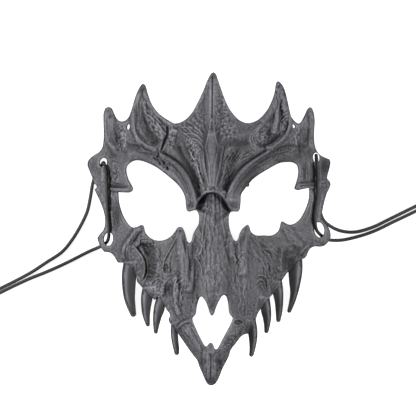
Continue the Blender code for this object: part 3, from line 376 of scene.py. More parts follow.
# Openings through the shell, drawn as the outline is.
LEFT_EYE = {
    "brow": [(-54.4, 21.2), (-50.5, 21), (-47.4, 21.2), (-45.9, 22.8), (-46.5, 24.9), (-48.4, 28.3),
        (-49.6, 32.2), (-49.6, 35.7), (-47.7, 38), (-44.8, 39.4), (-41.5, 39.3), (-37.5, 38), (-33, 35.8),
        (-28.8, 32.9), (-24.5, 29.4), (-20.4, 25.7), (-17.5, 21.8), (-16, 18), (-15.6, 14.5)],
    "brow end": [(-15.3, 11.6), (-14.6, 10.3), (-13, 10.1), (-11.3, 10.7)],
    "nose": [(-9.7, 10.8), (-8.5, 9.2), (-8, 5.5), (-8.6, 2.3), (-10.3, -0.5), (-11.6, -3.4)],
    "tear slot": [(-12.3, -6.6), (-13.5, -7.7), (-14.6, -6.8), (-15.4, -4.2), (-16.4, -1)],
    "lower lid": [(-17.4, 0.9), (-18.7, 1.4), (-20.2, 0.9), (-21.6, -1), (-23.6, -3.6), (-27, -5.8),
        (-31, -6.6), (-34.6, -5.7), (-37.6, -3.5), (-39, -1.3), (-39.4, 0.9)],
    "cheek": [(-40, 2.2), (-41.2, 2.5), (-43.5, 1.4), (-46.2, 1), (-48.4, 2.7), (-50.8, 6.3), (-52.8, 11),
        (-54, 15.8)],
}
RIGHT_EYE = {
    "brow": [(55.3, 23.7), (52, 23.1), (48.4, 22.4), (46.8, 23.3), (47.5, 26), (48.7, 30), (49, 34.3),
        (48.2, 36.9), (45.8, 38.3), (42.3, 38.5), (38.5, 38), (34.3, 36), (29.8, 33.4), (25.4, 30.6),
        (22.6, 28.4)],
    "burr": [(20.7, 26.2), (20.7, 24.9), (20, 24.2)],
    "brow end": [(19.2, 24.4), (17.6, 22.3), (16.1, 19.9), (15.8, 15.5)],
    "nose": [(15.4, 11.7), (14.5, 10.2), (12, 10.1), (10.2, 9.8), (9.2, 7.8), (9, 4.5), (9.3, 1.4),
        (10.3, -2.4)],
    "tear slot": [(11.8, -5.9), (13.2, -6.7), (14.2, -5.5), (15, -2.8), (16.6, 0.2)],
    "lower lid": [(18.6, 2.1), (19.9, 2.6), (20.8, 1.4), (21.4, -0.9), (22.9, -2.6), (25.4, -3.6),
        (29, -3.5), (33.2, -3.6), (35.9, -2.4), (37.6, -0.6), (38.4, 2)],
    "cheek": [(38.9, 4.2), (40, 4.5), (42, 3.3), (44.5, 2.6), (48, 4), (51, 7.4), (53.5, 12.4), (55, 17),
        (55.4, 20.6)],
}
MOUTH = {
    "upper tooth": [(-6.6, -38.3), (-5.3, -39.6), (-3.8, -42), (-2.7, -45.3), (-1.8, -48.1), (-0.7, -49.3),
        (0.4, -48.5), (1.3, -45.9), (2.4, -42.9), (3.8, -40.1), (5, -38.2)],
    "right lip": [(6.2, -37.4), (7.5, -38.3), (8.3, -40.8), (8.8, -44.3), (9.1, -47.5)],
    "right corner": [(9.9, -49.1), (11.1, -50.6), (10.4, -53.2), (8.8, -56.5), (6.9, -60), (4.9, -63.8)],
    "chin nib": [(3.1, -67.4), (2.2, -68.6), (1.3, -68.7), (0.6, -67.4), (-0.1, -65.6), (-1.2, -64.9),
        (-2.4, -65.3), (-3.2, -66.5), (-4.2, -67)],
    "left corner": [(-5.2, -66), (-8, -60.6), (-10, -56.2), (-11.4, -52.7), (-11.7, -50.9)],
    "left lip": [(-10.9, -49.7), (-9.9, -48.5), (-9.4, -45), (-8.5, -41.2), (-7.6, -39)],
}
# Oval holes: centre, half width, half height and lean in degrees.
CORD_HOLES = {
    "left upper": ((-63.3, 38.4), 2.1, 2.7, -12.0),
    "left lower": ((-60.3, -5.8), 2.6, 3.9, -9.0),
    "right upper": ((59.7, 41.1), 1.9, 3.0, 6.0),
    "right lower": ((61.4, -0.5), 2.9, 4.4, 8.0),
}
VENT_HOLES = {
    "left vent": ((-48.7, 58.8), 0.65, 1.6, -8.0),
    "right vent": ((46.5, 59.2), 0.55, 1.1, 22.0),
}

# Fangs: (x, y, half width) stations from root to tip, how far the root is set back, and the tip's height
# over the table.
FANGS = {
    "left first": ([(-48, -18.5, 3.6), (-48.4, -26, 4.3), (-48.7, -33, 4.0), (-48.4, -40, 3.3),
        (-47.4, -45, 2.6), (-46.3, -49.3, 1.8)], 2.8, -0.4),
    "left second": ([(-37.6, -33, 2.8), (-38.1, -39, 3.4), (-38.6, -45, 2.85), (-38.5, -50, 2.2),
        (-37.7, -55.2, 1.25)], 2.3, 11.5),
    "left third": ([(-30.2, -39, 2.2), (-30.8, -45, 3.2), (-32, -50, 2.6), (-32.7, -55, 1.85),
        (-33, -59.3, 1.15)], 2.1, 18.0),
    "left fourth": ([(-22.3, -53, 1.7), (-22.2, -60, 2.1), (-21.7, -65, 1.95), (-21.1, -69, 1.7),
        (-20.9, -71.2, 1.4)], 1.6, 24.0),
    "right first": ([(48, -15, 3.4), (47.6, -23, 4.2), (47.4, -30, 3.6), (47, -37, 2.4), (45.7, -43, 1.75),
        (44.3, -47.5, 1.25)], 2.8, -0.4),
    "right second": ([(37, -29.5, 2.7), (37.4, -36, 3.1), (38.05, -42, 2.5), (38.1, -48, 2.0),
        (37.8, -52.6, 1.35)], 2.2, 11.5),
    "right third": ([(29.8, -38.5, 2.6), (30.4, -46, 3.05), (31.1, -51, 2.5), (31.1, -56, 1.7),
        (30.8, -58.9, 1.3)], 2.1, 18.0),
    "right fourth": ([(22.6, -52, 2.0), (22.8, -58.5, 2.75), (23, -63, 2.45), (22.7, -68.5, 1.75),
        (22.1, -72.2, 1.35)], 1.8, 24.0),
}

# The broad forms, which the CAD model has too.
# Carving that follows a line: points, half width, rise. A rise below zero is a groove.
RIDGES = {
    "crown keel": ([(0, 89), (-0.3, 74), (-0.4, 58)], 5.0, 1.9),
    "forehead lozenge": ([(-0.5, 58), (-0.7, 47), (-0.4, 34), (-0.6, 22)], 3.4, 2.4),
    "left brow": ([(-52, 43.5), (-44, 43.5), (-36, 41.5), (-29, 38), (-23, 33), (-18, 26.5), (-14.3, 19),
        (-12.6, 12)], 5.4, 3.2),
    "right brow": ([(51, 43), (44, 43), (37, 41.5), (30, 38), (24, 34), (18.6, 29.5), (13.6, 22.5),
        (12, 12)], 5.6, 3.2),
    "left horn, outer rim": ([(-42, 81), (-45, 72), (-46, 64), (-45, 57), (-42, 51.5), (-37, 48),
        (-31.5, 45.3)], 2.4, 2.0),
    "left horn, inner rim": ([(-39.5, 81), (-36.6, 73.5), (-32, 67), (-26.5, 62.4), (-22.5, 59.5)], 2.2,
        1.5),
    "right horn, inner rim": ([(37.8, 82), (35.4, 74), (32, 66), (27, 60.6), (22.6, 57), (20.6, 53.2),
        (22.6, 48.6), (25.4, 45.8)], 2.4, 1.7),
    "right horn, outer rim": ([(39.4, 81), (42.5, 72), (43.8, 63), (42.4, 56), (38, 50.5), (32, 45.6)], 2.4,
        1.8),
    "right horn, middle bar": ([(38, 79), (36.7, 70), (35.8, 61), (34, 54)], 2.2, 1.7),
    "left outer spike ridge": ([(-61.5, 69), (-62, 60), (-61, 52.5), (-58, 47), (-55.3, 42.5)], 2.6, 1.9),
    "right outer spike ridge": ([(56.6, 69), (57.6, 60), (57, 51), (58, 45)], 2.6, 1.7),
    "left temple blade": ([(-63, 25), (-57, 24), (-51, 23), (-46.8, 22.8)], 2.6, 1.9),
    "right temple blade": ([(63, 26), (57, 25.2), (52, 24.4), (47.6, 24)], 2.6, 1.9),
    "nose": ([(0.4, 19), (0.6, 5), (0.5, -12), (0, -30), (-0.5, -47)], 8.5, 3.4),
    "left nostril": ([(-8.6, 1), (-7, -5), (-6.8, -10), (-8.6, -15)], 2.6, 1.0),
    "right nostril": ([(10, 0), (9.6, -6), (9.8, -12), (11.4, -17)], 2.6, 1.0),
    "left tear ridge": ([(-18.6, 0), (-18, -10), (-16.6, -22), (-15.6, -34)], 3.4, 2.3),
    "right tear ridge": ([(19.6, 1.5), (17.6, -7), (17, -17), (17.4, -28)], 3.4, 1.7),
    "left cheek bone": ([(-41, 2), (-45.6, -3.5), (-49.4, -9), (-51.2, -15)], 2.8, 1.8),
    "right cheek bone": ([(39.6, 4), (43, -1), (47, -6), (51, -11.5)], 3.2, 1.5),
    "right cheek fold": ([(40.5, -9), (39, -17), (38.4, -25)], 3.0, 1.5),
    "left jaw cord": ([(-21.6, -26), (-21.8, -34), (-21.2, -44), (-19, -50)], 1.9, 1.2),
    "left jaw arm": ([(-15.4, -54.5), (-12.6, -61), (-8.4, -69), (-4, -77)], 4.0, 1.7),
    "right jaw arm": ([(13.6, -55), (10, -62), (6, -69.5), (2.6, -77)], 4.0, 1.7),
    "chin keel": ([(-1.3, -66), (-1.4, -76), (-1.2, -88.5)], 5.2, 3.0),
    "left horn crack": ([(-26.2, 59), (-25.9, 55.4), (-26.9, 51.6), (-28.6, 48), (-29.8, 45)], 1.1, -1.6),
}
# Dished places: centre, half length, half width, lean of the length in degrees from +X, depth.
HOLLOWS = {
    "left horn bowl": ((-38.4, 63), 17, 6.4, 118, 2.6),
    "left horn foot": ((-34, 53.5), 9, 5, 150, 1.6),
    "right horn bowl": ((30, 53), 10, 6, 32, 2.3),
    "right horn groove": ((40.3, 64), 13, 2.6, 97, 1.7),
    "left outer spike bowl": ((-55.5, 53), 9, 4.6, 105, 2.2),
    "right outer spike bowl": ((51.6, 52), 9, 4.6, 78, 2.0),
    "left forehead": ((-10.6, 38), 15, 4.6, 112, 2.6),
    "right forehead": ((9.6, 37), 14, 4.8, 66, 2.6),
    "left temple panel": ((-57, 32), 6, 3.6, 90, 1.5),
    "right temple panel": ((53.6, 33), 6, 3.6, 90, 1.3),
    "left lid hollow": ((-38, -11), 6.5, 4.2, 160, 2.0),
    "left cheek pore": ((-26.8, -22.6), 4.2, 1.9, 84, 1.5),
    "left jaw hollow": ((-27, -36), 7, 2.6, 80, 1.7),
    "left cheek pit": ((-32, -30), 7, 5, 130, 0.9),
    "right cheek hollow": ((29, -14), 9, 5, 130, 1.3),
    "right jaw hollow": ((28.4, -33), 7, 4, 110, 1.2),
    "left nose side": ((-13.2, -20), 16, 2.2, 88, 1.3),
    "right nose side": ((13.6, -13), 11, 2.0, 96, 1.2),
}
# Edges where one form overlaps the next: points with the low side on the left, the step's depth and reach.
# A step falls over SHELF_STEP. On the back it starts SHELF_BACK_LEAD early, so the wall stays whole.
SHELF_STEP = 0.9
SHELF_BACK_LEAD = 1.6
SHELVES = {
    "nose hood": ([(12, 9.5), (9.6, 12.5), (6.4, 18), (2.6, 21), (-1, 21.6), (-5, 20.3), (-8.4, 16.6),
        (-11, 10.5)], 3.4, 17),
    "left brow crest": ([(-31, 44), (-25, 40.8), (-18.8, 36), (-13.6, 28.5), (-10.6, 20), (-9.4, 13)], 2.2,
        9),
    "right brow crest": ([(8.6, 20), (11, 26), (14.8, 32), (20, 37.2), (26, 41.2), (33, 45.6)], 2.2, 9),
    "left cheek plate": ([(-45, -9.8), (-41, -15.2), (-39, -19.5), (-39.2, -25), (-41.2, -29.8)], 1.9, 8),
}

# The finer carving, on the front alone.
# Raised plates, and recesses where the height is below zero: outline, height and the slope's width.
PLATES = {
    "left horn tongue": ([(-40.2, 74), (-39.8, 68.6), (-38.6, 64), (-36.6, 59), (-33.6, 55), (-30.6, 51.6),
        (-28.4, 50.8), (-27.2, 53.4), (-27.8, 57.2), (-30.6, 60.8), (-34, 65), (-37, 70.4), (-39, 75)], 1.0,
        1.5),
    "left temple block": ([(-59.6, 37), (-59.6, 31), (-59.2, 26.2), (-54.8, 26.2), (-53.4, 30), (-53.6, 35),
        (-55.4, 38.4)], 0.5, 2.2),
    "left cheek plate": ([(-48.4, -9.6), (-45.8, -8.8), (-42.8, -12.2), (-40.4, -15.6), (-39.2, -19.4),
        (-38.9, -23.6), (-39.6, -27.2), (-41.6, -30), (-43.6, -29), (-44.4, -25.6), (-45.2, -22.4),
        (-48.2, -19), (-49, -14)], 0.7, 0.8),
    "left jaw pit": ([(-24.6, -30), (-22.8, -33), (-22.6, -37), (-24.4, -39.4), (-26.4, -37), (-26, -33)],
        -1.0, 1.2),
    "left cheek valley": ([(-42.8, -8.6), (-38, -7.6), (-35.4, -11), (-34.8, -17), (-35.2, -24),
        (-36.8, -29.6), (-39, -33.2), (-40.8, -31.6), (-38.6, -27), (-37.8, -21.6), (-38.8, -17),
        (-41, -13)], -0.9, 2.4),
    "right horn bowl": ([(24.2, 53), (26, 58.4), (29.4, 61), (32, 59.4), (33, 55.6), (36, 55.6),
        (38.6, 55.4), (36.4, 51), (31.6, 47.4), (27, 46.2), (24, 48.4)], -1.0, 2.4),
    "right temple recess": ([(55.4, 39), (59.6, 40), (60.4, 32), (60, 25), (55.4, 25), (55, 32)], -0.5, 2.0),
    "right jaw pit": ([(11.4, -53.4), (12.8, -51.8), (15.6, -51.8), (17, -53.4), (15.4, -54.8),
        (12.6, -54.8)], -0.9, 0.9),
}
# Broad rounded swells, and valleys where the rise is below zero: points, half width and rise.
VALLEYS = {
    "left spike ridge": (RIDGES["left outer spike ridge"][0], 2.8, -0.9),
    "left horn rim": (RIDGES["left horn, outer rim"][0], 2.6, -0.8),
    "right horn rim": (RIDGES["right horn, outer rim"][0], 2.6, -0.6),
    "left spike foot": ([(-59.4, 66), (-58.4, 59), (-57, 52.6), (-54.6, 45)], 3.2, 1.8),
    "right spike foot": ([(54.4, 66), (54.8, 59), (54.4, 52), (55, 47)], 2.6, 0.6),
    "right horn hook": ([(29, 62.6), (27, 60.6), (22.6, 57), (20.6, 53.2), (22.6, 48.6), (25.4, 45.8)], 2.5,
        -1.4),
    "right horn top": ([(38.4, 83), (38.8, 78), (39.3, 73), (40, 67)], 2.4, 2.6),
    "left jaw groove, outer": ([(-28.2, -30), (-28.4, -39)], 1.8, 0.9),
    "left jaw groove, inner": ([(-20.8, -26.6), (-20.4, -32.6), (-19.8, -38)], 1.6, 0.9),
    "right cheek flat": ([(43.6, -7.6), (45.6, -12.6), (44.6, -19)], 4.2, 0.8),
    "right horn groove foot": ([(40.4, 78), (40.8, 72), (40.8, 64), (39.8, 56.4)], 2.4, 2.0),
    "right forehead dark": ([(22, 52.4), (15, 50.4), (8, 49.4), (5, 46)], 3.4, -0.8),
    "left horn bowl": ([(-42.2, 82), (-42.2, 74), (-42, 67), (-40.4, 60.4), (-37.4, 55), (-32, 50)], 4.6,
        2.3),
    "right brow bridge": ([(27, 43), (31.6, 45.8), (36.4, 49.6)], 2.4, 0.7),
    "right cheek bone": ([(40.6, 3), (43.4, -1.4), (47, -6)], 3.0, -0.8),
    "under the hood": ([(1.6, 4.6), (5, 7), (9, 9.6)], 3.0, 0.5),
    "left cheek plate foot": ([(-42.4, -9.6), (-39.2, -14), (-37.6, -19), (-37.7, -24.6), (-39.8, -30)],
        2.4, 1.5),
    "left brow break": ([(-33, 43), (-30.6, 39.6), (-27.6, 36.4), (-24.4, 33.8)], 2.2, -0.7),
    "left forehead side": ([(-22, 50), (-18.4, 44.6), (-15.2, 38.4), (-11.8, 31.4), (-8.8, 25)], 3.0, -0.8),
    "right forehead side": ([(22.6, 46), (17.6, 40.6), (13.6, 34.4), (9.8, 28), (7.4, 23.4)], 2.6, -0.2),
    "left temple": ([(-60.4, 38), (-60, 32), (-59.6, 26)], 1.8, -0.3),
    "right temple": ([(57.6, 38), (57.8, 32), (57.6, 26)], 2.2, -0.5),
    "left muzzle side": ([(-14.2, -3), (-13.8, -11), (-13.4, -20), (-13, -28), (-14, -37)], 2.6, 2.1),
    "right muzzle side": ([(13.6, -3), (13.6, -11), (14, -19)], 2.2, 1.4),
    "left pore": ([(-26.4, -18), (-26.9, -22.6), (-27.4, -27)], 1.8, 0.7),
}
# Crisp crests, and grooves where the rise is below zero: points, flank width on the left and on the right
# as one goes along them, and rise.
CRESTS = {
    "crown groove": ([(-0.3, 89), (-0.4, 76), (-0.6, 63)], 0.8, 0.8, -0.9),
    "crown lip": ([(-1.4, 88), (-1.6, 76), (-1.9, 63)], 0.9, 1.2, 0.35),
    "lozenge, left": ([(-1.3, 63), (-2, 56), (-3.5, 50.4), (-4.1, 46.6), (-3.2, 42), (-2.2, 36), (-2, 30),
        (-1.4, 23)], 0.8, 0.9, 0.6),
    "lozenge, right": ([(0.3, 63), (0.6, 56), (1.7, 51), (2.8, 47), (2.1, 42), (1, 38), (0.6, 30),
        (-0.2, 23)], 0.9, 0.8, 0.6),
    "left forehead arc, first": ([(-19, 58), (-14, 58.6), (-9.4, 57.4), (-5.4, 54)], 0.9, 0.8, 0.4),
    "left forehead arc, second": ([(-17.6, 54.4), (-13, 54.8), (-9, 53.4), (-5.6, 49.8)], 0.9, 0.8, 0.65),
    "left forehead arc, third": ([(-14.4, 51.7), (-10.6, 51.6), (-7.4, 49.5), (-5.2, 46.4)], 0.8, 0.7, 0.5),
    "left forehead arc, fourth": ([(-13.6, 48.8), (-10.4, 48.4), (-7.4, 46), (-6, 43.4)], 0.8, 0.7, 0.45),
    "left forehead column": ([(-14, 46.4), (-12.4, 42.4), (-10.2, 39), (-8.8, 35), (-7.4, 30), (-5.8, 25)],
        1.7, 0.9, 1.1),
    "left forehead valley": ([(-19.4, 48), (-15.6, 40.4), (-11.9, 33), (-9, 26.6), (-7.4, 22.4)], 2.2, 2.6,
        -1.1),
    "left forehead inner crest": ([(-5.6, 45), (-4.9, 38.6), (-4.2, 33), (-3.2, 28), (-2.3, 23.6)], 0.8,
        0.8, 0.6),
    "left forehead inner groove": ([(-7.2, 43), (-6.5, 38), (-5.7, 33), (-4.5, 27)], 0.8, 0.8, -0.6),
    "right forehead inner crest": ([(5, 44), (3.9, 38), (3, 32.6), (1.8, 26), (1.2, 23.2)], 0.8, 0.8, 0.45),
    "right forehead groove": ([(7, 48), (5.6, 42), (4.7, 36), (3.6, 30), (2.8, 25.4)], 1.0, 1.0, -0.8),
    "right forehead column": ([(9, 42), (7.8, 39.4), (6.7, 35.4), (5.7, 30.4), (4.2, 25)], 0.9, 1.6, 0.8),
    "right forehead valley": ([(19.4, 46), (15, 38), (11.2, 31), (8, 24.6), (6.4, 21.6)], 2.4, 2.0, -0.5),
    "right forehead arc": ([(4.8, 51.4), (8, 53.2), (12.6, 53), (17, 51)], 0.8, 0.9, 0.4),
    "hood rim": ([(-10.5, 13.4), (-8.5, 17.3), (-5, 20.2), (-1, 21.4), (2.8, 20.6), (6, 17.8), (8.8, 13.8),
        (10.6, 10.6)], 1.5, 0.6, 0.55),
    "left brow crest": ([(-31, 43.8), (-25.4, 40.6), (-19.4, 35.6), (-14.8, 29.4), (-11.8, 22.6),
        (-10.6, 16), (-10.5, 12.6)], 0.6, 1.9, 0.65),
    "left brow line, upper": ([(-44, 44.6), (-36, 43.4), (-29.4, 41), (-24, 37.4), (-19, 32), (-15.4, 25.6),
        (-13.2, 19), (-12.6, 14)], 0.6, 0.6, -0.45),
    "left brow line, middle": ([(-42, 42.8), (-34.6, 40.8), (-28.2, 37.4), (-22.8, 32.4), (-18, 26),
        (-15.2, 19.4), (-14, 14)], 0.6, 0.8, 0.35),
    "left brow line, lower": ([(-24.6, 31.6), (-20.6, 26.8), (-17.4, 21), (-15.6, 15)], 0.6, 0.6, -0.35),
    "left brow crack, first": ([(-34.4, 42), (-33, 40), (-31.4, 39.6), (-30.4, 37.4), (-29.4, 36.4)], 0.8,
        0.8, -1.3),
    "left brow crack, second": ([(-29.6, 40.4), (-28, 38.6), (-27.4, 36.6), (-26, 35.6), (-25.4, 33.2)],
        0.8, 0.8, -1.4),
    "left brow crack, third": ([(-31.6, 44.6), (-31, 42.4), (-32, 41.2), (-31.2, 39.8)], 0.8, 0.8, -1.2),
    "right brow crest": ([(33, 45.8), (28, 42.8), (22.6, 38.8), (17.2, 33.8), (12.8, 28.4), (9.8, 23.6),
        (8.3, 20.2)], 1.9, 0.6, 0.65),
    "right brow line, upper": ([(44, 45), (37, 43.2), (30.4, 40.6), (24.6, 36.6), (18.8, 31.2), (14, 24.6),
        (11, 18.4)], 0.6, 0.6, -0.45),
    "right brow line, lower": ([(42, 41.4), (35, 40), (28.6, 36.4), (22.6, 31.8), (17.2, 25.6), (14, 18.6)],
        0.8, 0.6, 0.35),
    "left horn rim": ([(-45.2, 74), (-45.8, 66), (-45.2, 60), (-44.2, 55), (-42.2, 51.4), (-39.4, 49),
        (-35.6, 47.2), (-31.4, 45.2)], 0.8, 2.6, 0.6),
    "left horn second line": ([(-45.4, 57), (-43.8, 51.2), (-41.2, 47.2), (-38.8, 44.8)], 0.9, 1.1, 0.6),
    "left horn tip line": ([(-42.4, 77), (-43.2, 72), (-43.1, 67)], 0.7, 0.7, 0.45),
    "left horn tongue, left edge": ([(-40.2, 74), (-39.3, 67.6), (-38, 62.8), (-35.8, 58.2), (-33, 54.6),
        (-30.2, 51.6)], 1.5, 0.7, 0.7),
    "left horn tongue, right edge": ([(-38.4, 74), (-35.8, 69), (-33, 64.8), (-29.8, 61), (-27.6, 57.6)],
        0.7, 1.2, 0.6),
    "left horn flange groove": ([(-37.4, 73), (-34.6, 67.4), (-30.8, 63), (-27, 59.6)], 0.7, 0.7, -0.6),
    "left spike ridge": ([(-62, 67), (-62.3, 60), (-61.3, 54), (-59.6, 49.4), (-57, 45.4), (-54.6, 42)],
        0.9, 2.4, 0.5),
    "left cord channel": ([(-62.4, 37.6), (-62.2, 32), (-62, 26), (-61.4, 20)], 1.5, 1.6, -0.7),
    "left wing edge": ([(-64.4, 38), (-64.1, 33), (-64.1, 27)], 0.6, 1.4, 0.5),
    "left block foot": ([(-60, 26.7), (-57.6, 26.5), (-55, 26.5)], 0.7, 0.6, 0.5),
    "left temple step": ([(-62.4, 25), (-58, 24.9), (-53, 24.5), (-48.4, 24.3)], 1.2, 2.0, -1.9),
    "left blade foot": ([(-55, 22.5), (-50.8, 22.3), (-47, 23)], 0.7, 0.8, 0.5),
    "right horn rim, outer": ([(34, 70), (31.8, 65), (29, 61.8), (25, 57.9), (21.5, 54), (21.2, 51),
        (22.6, 47.6)], 0.8, 0.7, 0.6),
    "right horn rim, inner": ([(30, 61), (26.2, 57.4), (23, 53.8), (22.8, 51), (24.4, 47.2)], 0.7, 0.9, 0.6),
    "right horn tongue, left edge": ([(36, 76), (34.4, 69), (33.6, 62), (33, 56)], 1.2, 0.8, 0.45),
    "right horn tongue, right edge": ([(38.2, 76), (37.8, 69), (37.2, 61), (36, 55.4)], 0.8, 1.2, 0.55),
    "right horn groove": ([(39.2, 76), (39.4, 69), (39.6, 63), (39.2, 57.6), (36.8, 53), (33, 49.6),
        (29.6, 47.6)], 1.2, 1.0, -0.3),
    "right horn long crest": ([(42.8, 75), (44.2, 67), (43.8, 60.4), (42, 55.4), (39.8, 52.2), (36, 48.8),
        (32.6, 46)], 1.9, 0.8, 0.7),
    "right spike edge": ([(57.4, 67), (58, 59), (57.4, 52), (58, 47)], 0.8, 1.2, 0.5),
    "right spike line": ([(46, 57), (47.4, 52.4), (48.4, 48.4), (48.4, 44.4)], 0.8, 0.9, 0.5),
    "right block bar, first": ([(51.4, 35), (51.6, 31), (51.4, 28)], 0.9, 0.9, 0.6),
    "right block bar, second": ([(53.9, 35), (54, 31), (53.8, 27.4)], 0.7, 0.7, 0.6),
    "right temple step": ([(62, 25.6), (57, 25.2), (52, 25.2), (49, 25)], 1.4, 0.6, -1.3),
    "right wing crack": ([(66.4, 27.2), (64, 26.4), (61.6, 26)], 0.6, 0.6, -0.9),
    "right wing edge": ([(62.2, 39), (62.4, 33), (62.2, 27)], 1.0, 0.6, 0.4),
    "left strap edge": ([(-64.4, 21), (-62.4, 15), (-61.9, 8), (-61.6, 2)], 0.8, 1.0, 0.4),
    "left strap line": ([(-57.4, 20), (-56.4, 13), (-54.6, 7), (-52.6, 3)], 0.8, 0.8, 0.45),
    "left strap dark": ([(-59, 19), (-58.4, 12), (-57.4, 6), (-56.8, 1)], 1.0, 1.0, -0.5),
    "right strap edge": ([(63.6, 21), (62.4, 15), (61.6, 9), (61, 4)], 1.0, 0.8, 0.4),
    "right strap line": ([(58, 22), (56.8, 14), (55.6, 8), (53.4, 3)], 0.8, 0.8, 0.45),
    "left lug ring": ([(-54.2, -0.9), (-53, -1.5), (-51.9, -0.7), (-51.8, 0.6), (-52.9, 1.5), (-54.1, 0.9),
        (-54.3, -0.7)], 0.6, 0.6, 0.4),
    "left bone ridge": ([(-43.4, 0), (-45.6, -2.6), (-47.6, -5.8), (-49.6, -9.4)], 1.2, 1.9, 0.9),
    "left bone shade": ([(-41.8, -1), (-43.6, -4.6), (-45.4, -8)], 1.5, 1.2, -0.6),
    "left plate groove": ([(-49.4, -9), (-50.4, -12.6), (-50.2, -16.4), (-48.4, -18.8)], 0.8, 1.0, -1.1),
    "left plate foot": ([(-52, -18.8), (-48.6, -20.6), (-45.6, -22.8), (-44.8, -26), (-44.2, -29.4)], 0.8,
        0.7, 0.4),
    "left plate ridge": ([(-46, -8.8), (-43.3, -12), (-40.8, -15.2), (-39.4, -18.8), (-38.9, -23),
        (-39.4, -26.8), (-41, -29.6)], 0.6, 1.5, 0.75),
    "left curl, first": ([(-41.9, -9), (-42.4, -7.2), (-41.6, -5.6), (-39.6, -5), (-38.2, -6)], 0.7, 0.7,
        0.9),
    "left curl, second": ([(-41, -3.4), (-38, -4.2), (-35.8, -5.8), (-34.6, -8), (-34.9, -10)], 0.7, 0.7,
        0.7),
    "left curl, third": ([(-39.6, -8.4), (-37.7, -8.8), (-36.4, -10.2), (-36.4, -12.2)], 0.7, 0.7, 0.8),
    "left curl, fourth": ([(-33.4, -8), (-32.6, -11), (-31, -13.4)], 0.7, 0.7, 0.5),
    "left cheek fold": ([(-34, -14), (-33.2, -18), (-33.6, -21.4)], 0.9, 0.8, 0.5),
    "left jaw rim": ([(-44, -30.2), (-40.6, -33.4), (-37.4, -37), (-34.6, -39.2), (-32.6, -39.2),
        (-31, -38.6), (-29.4, -40.2), (-27.4, -43.6), (-25.6, -46.6)], 0.8, 0.6, 0.6),
    "left jaw rim, inner": ([(-37, -34.4), (-34.4, -36.8), (-31.4, -36.4), (-29, -38.6), (-27, -42),
        (-24.6, -45.6)], 0.7, 0.7, 0.45),
    "left pore rim": ([(-23.4, -12), (-24.6, -16), (-25.4, -20), (-25, -24)], 0.8, 0.7, 0.5),
    "left spur fold": ([(-19.4, 0), (-21.2, -5), (-23.6, -9.6), (-26, -14), (-28.2, -19), (-28.6, -24.6)],
        0.8, 0.9, 1.0),
    "left spur crest": ([(-18.8, -5), (-17.2, -10), (-16, -15), (-15.3, -20), (-15.2, -28), (-16.4, -36)],
        0.7, 1.0, 1.0),
    "left muzzle groove": ([(-13.9, -9), (-14.3, -14), (-13.6, -19), (-14.1, -24), (-13.7, -29),
        (-14.4, -34)], 0.7, 0.7, -0.6),
    "left jaw line": ([(-21.6, -29), (-21.9, -36), (-21.5, -42), (-19.8, -46.4)], 0.7, 0.7, 0.65),
    "left jaw second line": ([(-24.8, -32), (-24.4, -36), (-23.8, -41), (-22.6, -45)], 0.6, 0.7, 0.5),
    "left jaw third line": ([(-18.6, -32), (-18.2, -38), (-17, -44)], 0.7, 0.7, 0.4),
    "muzzle lobe, first": ([(-9.4, -5), (-7, -8), (-6.8, -12), (-8.6, -15.6)], 0.9, 0.9, 0.8),
    "muzzle lobe, second": ([(-10.8, -15.6), (-8.4, -18), (-6.6, -22.4), (-6.4, -26)], 0.8, 0.8, 0.8),
    "muzzle lobe, third": ([(-7.6, -13), (-5.8, -16.4), (-4.4, -21), (-4.2, -26)], 0.8, 0.8, 0.7),
    "nose keel": ([(0.2, 20.4), (0.4, 14), (0.2, 8), (0.4, 1)], 1.0, 1.0, 0.8),
    "nose side, left": ([(-4.4, 18.6), (-3.8, 13), (-4.6, 7), (-5.6, 0), (-6.2, -7)], 0.8, 0.8, 0.55),
    "nose side, right": ([(4.6, 18), (4.4, 12), (5, 6), (6.2, -1), (7, -8)], 0.8, 0.8, 0.55),
    "nose curl": ([(-6.6, 9.6), (-5.8, 12), (-3.8, 12.4), (-2.8, 10.6), (-4, 9)], 0.7, 0.7, 0.5),
    "right muzzle groove": ([(14.4, -7.4), (13, -11), (12.8, -15), (14.4, -18.6)], 0.8, 0.8, -0.6),
    "right muzzle cross, first": ([(11.4, -13), (13.6, -16), (16.2, -19.4)], 0.6, 0.6, -0.8),
    "right muzzle cross, second": ([(17, -14), (14.8, -17), (12.4, -20.6)], 0.6, 0.6, -0.7),
    "right spur crest": ([(19.8, 1.6), (18.8, -4), (18.4, -9)], 1.1, 0.8, 0.55),
    "right cheek fold, first": ([(21.4, -3), (24.6, -7.6), (29, -12.4), (33, -16)], 0.9, 0.9, 0.4),
    "right cheek fold, second": ([(20.6, -9), (24.4, -14), (29, -19)], 0.9, 0.9, 0.4),
    "right cheek fold, third": ([(28, -4.4), (32.6, -8.4), (36.6, -12)], 0.9, 0.9, 0.35),
    "right bone crest": ([(40.6, 3), (41.6, -1.6), (43.6, -6), (45.4, -10)], 1.4, 1.6, 0.35),
    "right bone line": ([(56, -8.6), (51.6, -12.6), (48.2, -16.8), (46.4, -21)], 0.8, 1.2, 0.6),
    "right cheek bar": ([(40.6, -9), (39.4, -15), (39, -21), (39.4, -26.6)], 0.9, 1.2, 0.55),
    "right cheek stroke, first": ([(32.6, -20.6), (33.2, -23.6), (34.2, -27)], 0.8, 0.7, 0.7),
    "right cheek stroke, second": ([(30.8, -21), (30.6, -25), (31.4, -29)], 0.7, 0.7, 0.5),
    "right cheek stroke, third": ([(36, -19), (36.2, -24), (37, -28.6)], 0.7, 0.7, 0.4),
    "right arc, outer": ([(23.8, -28), (26.4, -26.4), (29.4, -27), (31, -30), (31.2, -34)], 0.8, 0.8, 0.9),
    "right arc, middle": ([(24.8, -31), (26.6, -28.9), (28.8, -29.8), (29.4, -33)], 0.7, 0.7, 0.85),
